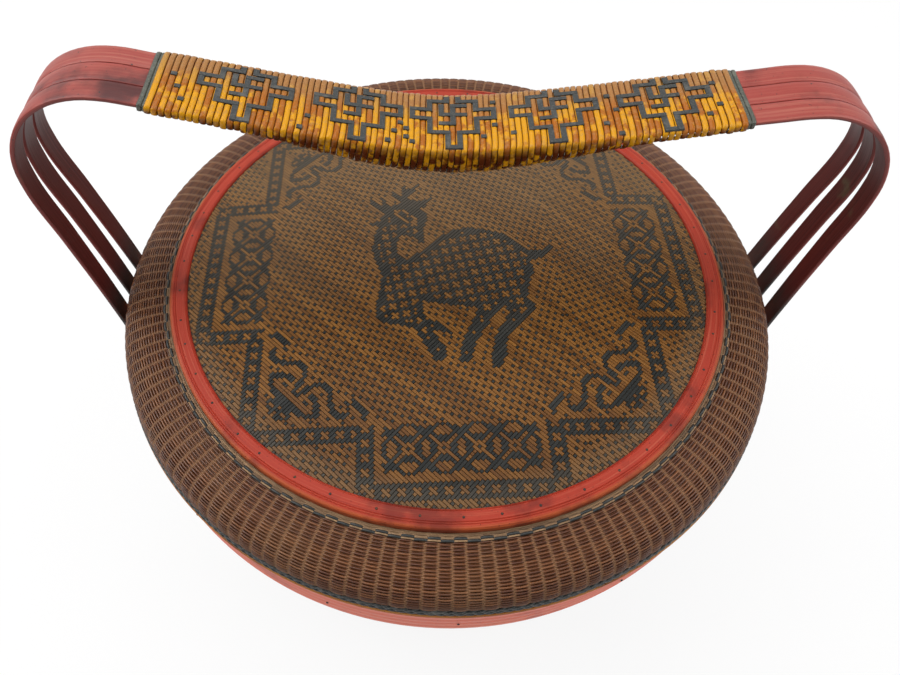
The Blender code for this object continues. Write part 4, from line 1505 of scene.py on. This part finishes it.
@dataclass
class LidHoops:
    """Red hoop round the panel with its nails, and the reeded rim, cane ring and braid below."""

    nail: NodeRecipe
    strand: NodeRecipe
    nail_count: int = 48
    nail_share: float = 0.40     # of the hoop's width, in to its nails
    nail_size: float = 0.0015
    groove: float = 0.0003
    groove_width: float = 0.00035
    groove_shares: tuple[float, ...] = (0.10, 0.62, 0.72)
    worn: float = 0.0009
    lip: float = 0.0016          # thickness of the hoop where it lies over the panel
    gap: float = 0.0003          # between the hoop and the panel's edge
    rim_reeds: int = 4
    rim_lean: float = 0.0013     # lowest reed outside the highest
    rim_valley: float = 0.0007
    cane_worn: float = 0.0007
    nail_jitter_share: float = 0.25   # of the nails' spacing

    def panel_hoop(self, material: Material) -> Piece:
        """Make the hoop that frames the panel.

        Args:
            material: Its finish.

        Returns:
            The hoop.
        """
        ring = Ring.of("lid_hoop")
        rebate = Ring.of("lid_panel").outer + self.gap
        lip = ring.high - self.lip
        outline = [(ring.inner + self.worn / 2, ring.high - self.worn / 4)]
        for share in self.groove_shares:
            radius = ring.inner + (ring.outer - ring.inner) * share
            outline += [(radius - self.groove_width, ring.high), (radius, ring.high - self.groove),
                        (radius + self.groove_width, ring.high)]
        outline += [(ring.outer - self.worn, ring.high - self.worn * 0.3),
                    (ring.outer - self.worn * 0.3, ring.high - self.worn),
                    (ring.outer, ring.low + self.gap), (ring.outer - self.gap, ring.low),
                    (rebate, ring.low), (rebate, lip), (ring.inner, lip),
                    (ring.inner, ring.high - self.worn)]
        return turned("lid_panel_hoop", outline, material)

    def nails(self, name: str, radius: float, height: float, lean: float, count: int,
              material: Material) -> Piece:
        """Set small nails round a hoop.

        Args:
            name: Name of the piece.
            radius: Radius that they sit on.
            height: Height that they sit at.
            lean: Angle of their heads' direction above the horizontal.
            count: How many.
            material: Their finish.

        Returns:
            One mesh of all nail heads.
        """
        rng = np.random.default_rng(count)
        angle = (np.arange(count) + self.nail_jitter_share * rng.random(count)) * TURN / count
        outward = np.stack([np.cos(angle), np.sin(angle), np.zeros(count)], axis=1)
        tangent = np.stack([-np.sin(angle), np.cos(angle), np.zeros(count)], axis=1)
        facing = outward * math.cos(lean) + np.array([0.0, 0.0, math.sin(lean)])
        beside = np.cross(facing, tangent)
        place = outward * radius + np.array([0.0, 0.0, height])
        size = np.tile([self.nail_size, self.nail_size, self.nail_size * 0.5], (count, 1))
        return self.nail.make(name, place, {"ahead": tangent, "beside": beside, "size": size},
                              {"Material": material})

    def build(self) -> list[Piece]:
        """Make and dress the lid's hoops.

        Returns:
            Its pieces.
        """
        lacquer = Lacquer("lid_hoop_lacquer", warm_from=0.1596, warm_to=0.1612).material()
        iron = Iron("small_nail_iron").material()
        hoop = self.panel_hoop(lacquer)
        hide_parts("lid_hoop")
        ring, rim = Ring.of("lid_hoop"), Ring.of("lid_rim")
        across = ring.inner + (ring.outer - ring.inner) * self.nail_share
        pins = self.nails("lid_hoop_nails", across, ring.high - 0.0001, math.pi / 2,
                          self.nail_count, iron)
        section = reeded(rim, rim.outer - self.rim_lean, self.rim_reeds, self.rim_valley)
        reeds = turned("lid_rim_reeds", section,
                       Lacquer("lid_rim_lacquer", (0.740, 0.125, 0.055), (0.420, 0.060, 0.030),
                               (0.780, 0.240, 0.140), (0.740, 0.125, 0.055), gloss=0.4).material())
        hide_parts("lid_rim")
        rim_pins = self.nails("lid_rim_nails", rim.outer - 0.0004, (rim.low + rim.high) / 2, 0.0,
                              self.nail_count // 3, iron)
        bright = turned("lid_bright_cane", Ring.of("lid_cane_ring").hoop(self.cane_worn),
                        Lacquer("bright_cane_varnish", (0.420, 0.150, 0.030), (0.160, 0.045, 0.012),
                                (0.560, 0.260, 0.070)).material())
        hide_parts("lid_cane_ring")
        braid = Plait(self.strand, "lid_braid", "lid", 66, 0.0016, math.radians(14.0)).build(
            "lid_braid_plait", DarkCane("lid_braid_cane").material())
        for piece, slot in ((hoop, "red_lacquer"), (pins, "iron_pin"), (reeds, "red_lacquer"),
                            (rim_pins, "iron_pin"), (bright, "bright_cane")):
            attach(piece, "lid")
        inner = PlainBamboo("lid_inner_bamboo").material()
        for node in ("lid_panel_frame", "lid_lining_hoop"):
            paint(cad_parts[node], inner)
        return [hoop, pins, reeds, rim_pins, bright, braid]


# The trays


@dataclass
class Tier:
    """One woven tray below the lid."""

    prefix: str
    body: str
    strand: NodeRecipe
    seed: int
    reeds: int = 2               # of its rim, and of its foot hoop
    valley: float = 0.0008       # depth between two reeds
    braid_gap: float = 0.0005    # woven rows to the braids above and below

    def wall_line(self) -> Array:
        """Outer face of the wall, from its foot up.

        Returns:
            Rows of height, radius.
        """
        points = node_points(self.prefix + "_wall")
        radii = np.hypot(points[:, 0], points[:, 1])
        levels = np.unique(points[:, 2].round(5))
        return np.array([(level, radii[abs(points[:, 2] - level) < 2e-5].max()) for level in levels])

    def weave(self, material: Material) -> Piece:
        """Make the woven rows between the braids.

        Args:
            material: Their finish.

        Returns:
            One mesh of all rows.
        """
        cane = Weave(self.strand, 0.0014, 0.0024, 0.0011, 0.00055, self.seed)
        line = self.wall_line()
        low = Ring.of(self.prefix + "_lower_braid").high + self.braid_gap
        high = Ring.of(self.prefix + "_upper_braid").low - self.braid_gap
        height = np.linspace(low, high, int((high - low) / cane.spacing) + 1)
        radius = np.interp(height, line[:, 0], line[:, 1])
        lean = -np.arctan2(np.gradient(radius), np.gradient(height))
        return cane.rows(self.prefix + "_weave", radius - cane.sunk, height, lean, material)

    def backing(self, material: Material) -> Piece:
        """Make the wall's inner layer.

        Args:
            material: Its finish.

        Returns:
            The ring.
        """
        line = self.wall_line()
        outer = [(radius - BACKING_DEPTH, level) for level, radius in line[::-1]]
        inner = [(radius - WOVEN_WALL, level) for level, radius in line]
        return turned(self.prefix + "_wall_backing", outer + inner, material)

    def build(self) -> list[Piece]:
        """Make and dress the tray.

        Returns:
            Its pieces.
        """
        cane = WovenCane(self.prefix + "_weave_cane").material()
        lacquer = Lacquer(self.prefix + "_lacquer").material()
        bamboo = PlainBamboo(self.prefix + "_bamboo").material()
        braid = DarkCane(self.prefix + "_braid_cane").material()
        weave, backing = self.weave(cane), self.backing(cane)
        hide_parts(self.prefix + "_wall")
        pieces = [weave, backing]
        for part in ("rim", "foot_hoop"):
            ring = Ring.of(f"{self.prefix}_{part}")
            section = reeded(ring, ring.outer, self.reeds, self.valley)
            piece = turned(f"{self.prefix}_{part}_reeds", section, lacquer)
            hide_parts(f"{self.prefix}_{part}")
            pieces.append(piece)
        for part in ("collar", "lining_hoop"):
            section = Ring.of(f"{self.prefix}_{part}").hoop()
            piece = turned(f"{self.prefix}_{part}_smooth", section, bamboo)
            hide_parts(f"{self.prefix}_{part}")
            pieces.append(piece)
        for piece in pieces:
            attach(piece, self.body)
        for part, waves, bulge in (("upper", 64, 0.0013), ("lower", 62, 0.0016)):
            plait = Plait(self.strand, f"{self.prefix}_{part}_braid", self.body, waves, bulge)
            pieces.append(plait.build(f"{self.prefix}_{part}_plait", braid))
        straight = PlainBamboo(self.prefix + "_floor_bamboo", flow=Flow.ACROSS).material()
        for name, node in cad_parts.items():
            if name.startswith((self.prefix + "_floor", self.prefix + "_batten")):
                paint(node, straight)
        return pieces


# The handle


def smooth_line(points: Array, count: int) -> Array:
    """Even points on a smooth curve through given ones.

    Args:
        points: Rows of x, y, z that the curve passes through.
        count: How many points are wanted.

    Returns:
        Rows of x, y, z.
    """
    chord = lengths_along(points)
    slope = np.gradient(points, chord, axis=0)
    wanted = np.linspace(0.0, chord[-1], count)
    index = np.clip(np.searchsorted(chord, wanted) - 1, 0, len(chord) - 2)
    run = (chord[index + 1] - chord[index])[:, None]
    share = ((wanted - chord[index]) / run[:, 0])[:, None]
    square, cube = share ** 2, share ** 3
    return ((2 * cube - 3 * square + 1) * points[index] + (cube - 2 * square + share) * slope[index] * run
            + (3 * square - 2 * cube) * points[index + 1] + (cube - square) * slope[index + 1] * run)


@dataclass
class StrapHandle:
    """Three bent straps of lacquered bamboo."""

    width: float = 0.0118
    thickness: float = 0.0022
    crown: float = 0.0003        # how much rounder the outer face is than flat
    worn: float = 0.0005         # rounding of the edges
    stations: int = 260
    pivot: float = 0.19          # height of a point inside the arch, to order the stations by

    SHIFTS = {"strap_front": 0.0, "strap_middle": 0.7, "strap_back": 1.4}   # of each strap's grain

    def line(self, node: str) -> Array:
        """Outer face of a strap from its left foot to its right foot, read from the frame.

        Args:
            node: The strap's CAD node.

        Returns:
            Rows of x, y, z on the face's middle line.
        """
        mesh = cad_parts[node].data
        edges: dict[tuple[float, float], set[float]] = {}
        for face in mesh.polygons:
            outward = face.normal.dot(face.center - Vector((0.0, 0.0, self.pivot))) > 0.0
            if outward and abs(face.normal.y) < 0.5 and face.normal.z > -0.7:
                for index in face.vertices:
                    x, y, z = mesh.vertices[index].co
                    edges.setdefault((round(x, 5), round(z, 5)), set()).add(y)
        points = np.array([(x, (min(ys) + max(ys)) / 2, z) for (x, z), ys in edges.items()
                           if max(ys) - min(ys) > self.width / 2])
        angle = np.arctan2(points[:, 0], points[:, 2] - self.pivot)
        return smooth_line(points[np.argsort(angle)], self.stations)

    def section(self) -> Array:
        """Section of a strap.

        Returns:
            Rows of place across, depth below the outer face, and 1 on the outer side or 0 inside.
        """
        half, deep = self.width / 2, self.thickness
        across = np.array([-0.92, -0.6, -0.25, 0.25, 0.6, 0.92])
        outer = [(half * share, -self.crown * share * share, 1.0) for share in across]
        right = [(half - self.worn * 0.15, -self.worn, 0.9), (half, -deep / 2, 0.5),
                 (half - self.worn * 0.2, self.worn - deep, 0.1)]
        inner = [(half * share, -deep, 0.0) for share in across[::-1]]
        left = [(-place, depth, side) for place, depth, side in right[::-1]]
        return np.array(outer + right + inner + left)

    def strap(self, name: str, node: str, material: Material) -> Piece:
        """Sweep the section along a strap.

        Args:
            name: Name of the piece.
            node: The CAD node that it replaces.
            material: Its finish.

        Returns:
            The strap.
        """
        line, section = self.line(node), self.section()
        run = np.gradient(line, axis=0)
        out = unit(np.stack([-run[:, 2], np.zeros(len(line)), run[:, 0]], axis=1))
        points = line[:, None, :] + out[:, None, :] * section[None, :, 1:2]
        points[:, :, 1] += section[None, :, 0]
        stations, count = points.shape[:2]
        station, corner = np.meshgrid(np.arange(stations - 1), np.arange(count), indexing="ij")
        after = (corner + 1) % count
        faces = np.stack([station * count + corner, station * count + after,
                          (station + 1) * count + after, (station + 1) * count + corner], axis=2)
        ends = [list(range(count))[::-1], list(range((stations - 1) * count, stations * count))]
        piece = make_mesh(name, points.reshape(-1, 3), faces.reshape(-1, 4).tolist() + ends, material)
        length = lengths_along(line)
        length += self.SHIFTS[node] - length[-1] / 2
        add_attribute(piece.data, "along", np.repeat(length, count))
        add_attribute(piece.data, "across", np.tile(section[:, 0] / (self.width / 2), stations))
        add_attribute(piece.data, "outer", np.tile(section[:, 2], stations))
        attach(piece, "base")
        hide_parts(node)
        return piece

    def build(self) -> list[Piece]:
        """Make the three straps and dress their nails.

        Returns:
            The straps.
        """
        lacquer = StrapLacquer("strap_lacquer").material()
        iron = Iron("strap_nail_iron").material()
        for name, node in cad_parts.items():
            if name.startswith("nail_"):
                paint(node, iron)
        return [self.strap(node + "_bent", node, lacquer) for node in self.SHIFTS]


@dataclass
class Grip:
    """Cane wound round the straps and their padding, with a black key fret along the top."""

    loop: NodeRecipe
    bar: NodeRecipe
    handle: StrapHandle
    pitch: float = 0.0027
    cane_thickness: float = 0.0007
    over: float = 0.0013         # straps' outer face to the outside of the winding
    squareness: float = 7.0      # of a turn over the straps: 2 is a half oval
    squareness_below: float = 2.15
    samples: int = 44            # points round one turn
    probe: float = 0.004         # to each side, to measure the slope with
    uneven: Triple = (0.00012, 0.00015, 0.00020)   # spread above, beside, below
    row_pitch: float = 0.0031
    first_row: float = 0.0132    # middle of the straps back to the fret's row 0
    bar_width: float = 0.0024
    bar_thickness: float = 0.0007
    bar_lift_share: float = 0.55   # of the cane's thickness
    bar_chamfer: float = 0.0001  # also how much lower the strips along the straps lie
    end_turns: int = 2           # of the cloth at each end
    end_inset: float = 0.0010    # sides of a cloth turn's middle inside its CAD sleeve
    end_over: float = 0.0003     # its middle above the straps
    end_under: float = 0.0008    # and below their outer face's depth
    end_thickness: float = 0.0007
    seed: int = 5

    MOTIFS = (-34, -16, 0, 17, 35)
    STROKES = ((-1, -0.8, -1, 0), (1, -0.8, 1, 0), (-4, 0, -1, 0), (1, 0, 4, 0), (-4, 0, -4, 2),
               (4, 0, 4, 2), (-7, 2, -4, 2), (4, 2, 7, 2), (-7, 2, -7, 4), (7, 2, 7, 4),
               (-7, 4, -4, 4), (4, 4, 7, 4), (-4, 4, -4, 7), (4, 4, 4, 7), (-4, 7, -1, 7),
               (1, 7, 4, 7), (-1, 7, -1, 10), (1, 7, 1, 10), (-1, 10, 1, 10), (-2, 1, -2, 3),
               (0, 1, 2, 1), (0, 1, 0, 3), (-2, 3, 2, 3), (0, 3, 0, 5), (-2, 5, 0, 5))
    LOOSE = ((-45, 3), (-44, 5.5), (-43, 8), (-24, 7), (-25, 9.5), (-11, 9.5), (-9, 5.5), (-8, 8.4),
             (-10, 7.4), (-7, 9.3), (-8, 6.6), (5, 8), (7, 5.6), (10, 7.6), (7, 0.5), (26, 1.6),
             (27, 4.8), (25, 7.5), (27, 9.8), (43, 6), (41, 7.8), (43, 1.3))

    def __post_init__(self) -> None:
        """Read the grip's place from the frame."""
        self.line = self.handle.line("strap_middle")
        points = node_points("grip_wrap")
        self.ends = points[:, 0].min(), points[:, 0].max()
        self.half_width = points[:, 1].max()
        middle = points[abs(points[:, 1]) < 1e-4]
        middle = middle[np.argsort(middle[:, 0])]
        pairs = middle.reshape(-1, 2, 3)
        self.under = np.array([pair[np.argmin(pair[:, 2])] for pair in pairs])

    def stations(self, across: Array) -> dict[str, Array]:
        """Place and direction of sections of the grip.

        Args:
            across: Signed distances from the middle.

        Returns:
            The attributes centre, along, up, half_width, above and below.
        """
        span = self.line[abs(self.line[:, 0]) < self.ends[1] * 1.3]
        top = np.interp(across, span[:, 0], span[:, 2])
        ahead = np.interp(across + self.probe, span[:, 0], span[:, 2])
        behind = np.interp(across - self.probe, span[:, 0], span[:, 2])
        ones = np.ones(len(across))
        run = unit(np.stack([2.0 * self.probe * ones, 0.0 * ones, ahead - behind], axis=1))
        up = np.stack([-run[:, 2], 0.0 * ones, run[:, 0]], axis=1)
        centre = np.stack([across, 0.0 * ones, top], axis=1) - up * self.handle.thickness
        low = np.interp(across, self.under[:, 0], self.under[:, 2])
        half = self.cane_thickness / 2
        return {"centre": centre, "along": run, "up": up, "half_width": (self.half_width - half) * ones,
                "above": (self.handle.thickness + self.over - half) * ones,
                "below": (centre[:, 2] - low) - half}

    def winding(self, material: Material) -> Piece:
        """Wind the cane.

        Args:
            material: Its finish.

        Returns:
            One mesh of all turns.
        """
        count = int((self.ends[1] - self.ends[0]) / self.pitch)
        across = self.ends[0] + (np.arange(count) + 0.5) * self.pitch
        rng = np.random.default_rng(self.seed)
        facts = self.stations(across)
        for label, spread in zip(("above", "half_width", "below"), self.uneven):
            facts[label] += spread * rng.standard_normal(count)
        facts["tone"] = rng.random(count)
        return self.loop.make("grip_winding", count, facts,
                              {"Samples": self.samples, "Width": self.pitch * 0.92,
                               "Pitch": self.pitch, "Thickness": self.cane_thickness, "Sides": 8,
                               "Upper Power": self.squareness,
                               "Lower Power": self.squareness_below, "Material": material})

    def fret(self, material: Material) -> Piece:
        """Lay the black strips of the key fret, where they pass over the winding.

        Args:
            material: Their finish.

        Returns:
            One mesh of all of them.
        """
        strokes = [(column, row, column, row) for column, row in self.LOOSE]
        strokes += [(x0 + motif, y0, x1 + motif, y1) for motif in self.MOTIFS
                    for x0, y0, x1, y1 in self.STROKES]
        start, end = np.array(strokes, float)[:, :2], np.array(strokes, float)[:, 2:]
        facts = self.stations((start[:, 0] + end[:, 0]) / 2 * self.pitch)
        y = self.first_row - (start[:, 1] + end[:, 1]) / 2 * self.row_pitch
        upright = (end[:, 1] > start[:, 1]).astype(float)
        arch = (1.0 - np.abs(y / facts["half_width"]) ** self.squareness) ** (1.0 / self.squareness)
        lift = facts["above"] * arch + self.cane_thickness * self.bar_lift_share
        lift -= self.bar_chamfer * upright
        beside = np.tile([0.0, 1.0, 0.0], (len(y), 1))
        place = facts["centre"] + facts["up"] * lift[:, None] + beside * y[:, None]
        size = np.stack([(end[:, 0] - start[:, 0]) * self.pitch + self.pitch * 0.98,
                         (end[:, 1] - start[:, 1]) * self.row_pitch + self.bar_width,
                         np.full(len(y), self.bar_thickness)], axis=1)
        tone = np.random.default_rng(self.seed).random(len(y))
        return self.bar.make("grip_fret", place, {"ahead": facts["along"], "beside": beside,
                                                  "size": size, "tone": tone},
                             {"End Chamfer": self.bar_chamfer, "Side Chamfer": self.bar_chamfer,
                              "Material": material})

    def bindings(self, material: Material) -> list[Piece]:
        """Wind the strip of dark cloth at each end of the grip.

        Args:
            material: Its finish.

        Returns:
            Both bindings.
        """
        pieces = []
        count = self.end_turns
        for name in ("left", "right"):
            node = f"grip_binding_{name}"
            low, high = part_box(node)
            pitch = (high.x - low.x) / count
            across = low.x + pitch * (np.arange(count) + 0.5)
            facts = self.stations(across)
            facts["half_width"] = np.full(count, (high.y - low.y) / 2 - self.end_inset)
            facts["above"] = np.full(count, self.handle.thickness + self.end_over)
            facts["below"] = np.full(count, self.end_under)
            facts["tone"] = np.linspace(0.2, 0.8, count)
            piece = self.loop.make(f"grip_end_{name}", count, facts,
                                   {"Samples": self.samples, "Width": pitch * 1.02, "Pitch": pitch,
                                    "Thickness": self.end_thickness, "Sides": 7, "Upper Power": 12.0,
                                    "Lower Power": 9.0, "Material": material})
            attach(piece, "base")
            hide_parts(node)
            pieces.append(piece)
        return pieces

    def build(self) -> list[Piece]:
        """Make and dress the grip.

        Returns:
            Its pieces.
        """
        winding = self.winding(GripCane("grip_cane_varnish").material())
        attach(winding, "base")
        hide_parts("grip_wrap")
        fret = self.fret(DarkCane("grip_fret_cane").material())
        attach(fret, "base")
        fibre = PlainBamboo("grip_padding_fibre", flow=Flow.ACROSS).material()
        paint(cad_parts["grip_padding"], fibre)
        cloth = DarkCane("grip_binding_cloth", (0.060, 0.066, 0.050), (0.200, 0.195, 0.150))
        return [winding, fret, *self.bindings(cloth.material())]


# The studio


@dataclass
class Studio:
    """Floor, backdrop, lamps and the camera at the photograph's viewing angle."""

    eye: Triple = (-0.0158, -0.2324, 0.5244)
    down: float = math.radians(59.47)
    roll: float = math.radians(-0.2)
    sensor: float = 36.0
    focal_pixels: float = 590.15
    middle: tuple[float, float] = (419.46, 360.17)   # principal point, in pixels
    pixels: tuple[float, float] = (900.0, 675.0)     # width and height of the frame
    floor_size: float = 8.0
    backdrop_height: float = 3.0
    aim: Triple = (0.0, 0.0, 0.15)   # what the lamps point at
    world: float = 0.40

    LAMPS = (("window_left", (-1.3, 0.2, 1.5), 1.2, 18.0), ("window_right", (1.3, 0.0, 1.3), 1.2, 12.0),
             ("ceiling", (-0.2, 0.7, 2.0), 1.6, 17.0))   # name, place, side and watts

    def camera(self) -> None:
        """Place the camera."""
        data = bpy.data.cameras.new("photograph_camera")
        data.sensor_width = self.sensor
        wide, high = self.pixels
        data.lens = self.focal_pixels * self.sensor / wide
        data.shift_x = (wide / 2 - self.middle[0]) / wide
        data.shift_y = (self.middle[1] - high / 2) / wide
        data.clip_start = 0.01
        camera = add_object(data, "photograph_camera")
        forward = Vector((0.0, math.cos(self.down), -math.sin(self.down)))
        right = Vector((1.0, 0.0, 0.0))
        up = right.cross(forward)
        turned_right = right * math.cos(self.roll) + up * math.sin(self.roll)
        turned_up = up * math.cos(self.roll) - right * math.sin(self.roll)
        turn = Matrix((turned_right, turned_up, -forward)).transposed()
        camera.matrix_world = Matrix.Translation(Vector(self.eye)) @ turn.to_4x4()
        bpy.context.scene.camera = camera

    def lamp(self, name: str, place: Triple, size: float, power: float) -> None:
        """Hang a soft square lamp that points at the basket.

        Args:
            name: Name of the lamp.
            place: Where it hangs.
            size: Length of its side.
            power: Its power in watts.
        """
        data = bpy.data.lights.new(name, "AREA")
        data.size = size
        data.energy = power
        lamp = add_object(data, name)
        lamp.location = place
        lamp.rotation_mode = "QUATERNION"
        ray = Vector(self.aim) - Vector(place)
        lamp.rotation_quaternion = ray.to_track_quat("-Z", "Y")

    def build(self) -> None:
        """Make the floor, the backdrop, the lamps and the world."""
        white = StudioWhite("studio_white").material()
        half, rise = self.floor_size / 2, self.backdrop_height
        corners = [(-half, -half, 0.0), (half, -half, 0.0), (half, half, 0.0), (-half, half, 0.0)]
        wall = [(-half, half, 0.0), (half, half, 0.0), (half, half, rise), (-half, half, rise)]
        make_mesh("floor", corners, [[0, 1, 2, 3]], white)
        make_mesh("backdrop", wall, [[0, 1, 2, 3]], white)
        for lamp in self.LAMPS:
            self.lamp(*lamp)
        world = bpy.data.worlds.new("studio_world")
        world.use_nodes = True
        sky = world.node_tree.nodes["Background"].inputs
        sky["Color"].default_value = (1.0, 1.0, 1.0, 1.0)
        sky["Strength"].default_value = self.world
        bpy.context.scene.world = world
        bpy.context.scene.view_settings.view_transform = "Standard"
        self.camera()


def main() -> None:
    """Build the looks round the frame, in order."""
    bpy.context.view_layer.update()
    strand, loop = strand_recipe(), loop_recipe()
    bar, nail = repeat_recipe(Repeated.BAR), repeat_recipe(Repeated.NAIL)
    handle = StrapHandle()
    trays = [Tier("tray", "upper_tray", strand, seed=23), Tier("base", "base", strand, seed=29)]
    assemblies = [WovenPanel(PanelPattern(), bar), LidHoops(nail, strand), Shoulder(strand, Dome()),
                  *trays, handle, Grip(loop, bar, handle)]
    for assembly in assemblies:
        for piece in assembly.build():
            LOG.info("%s: %s, %d faces", type(assembly).__name__, piece.name, len(piece.data.polygons))
    Studio().build()


if __name__ == "__main__":
    logging.basicConfig(level=logging.INFO, format="%(message)s")
    main()
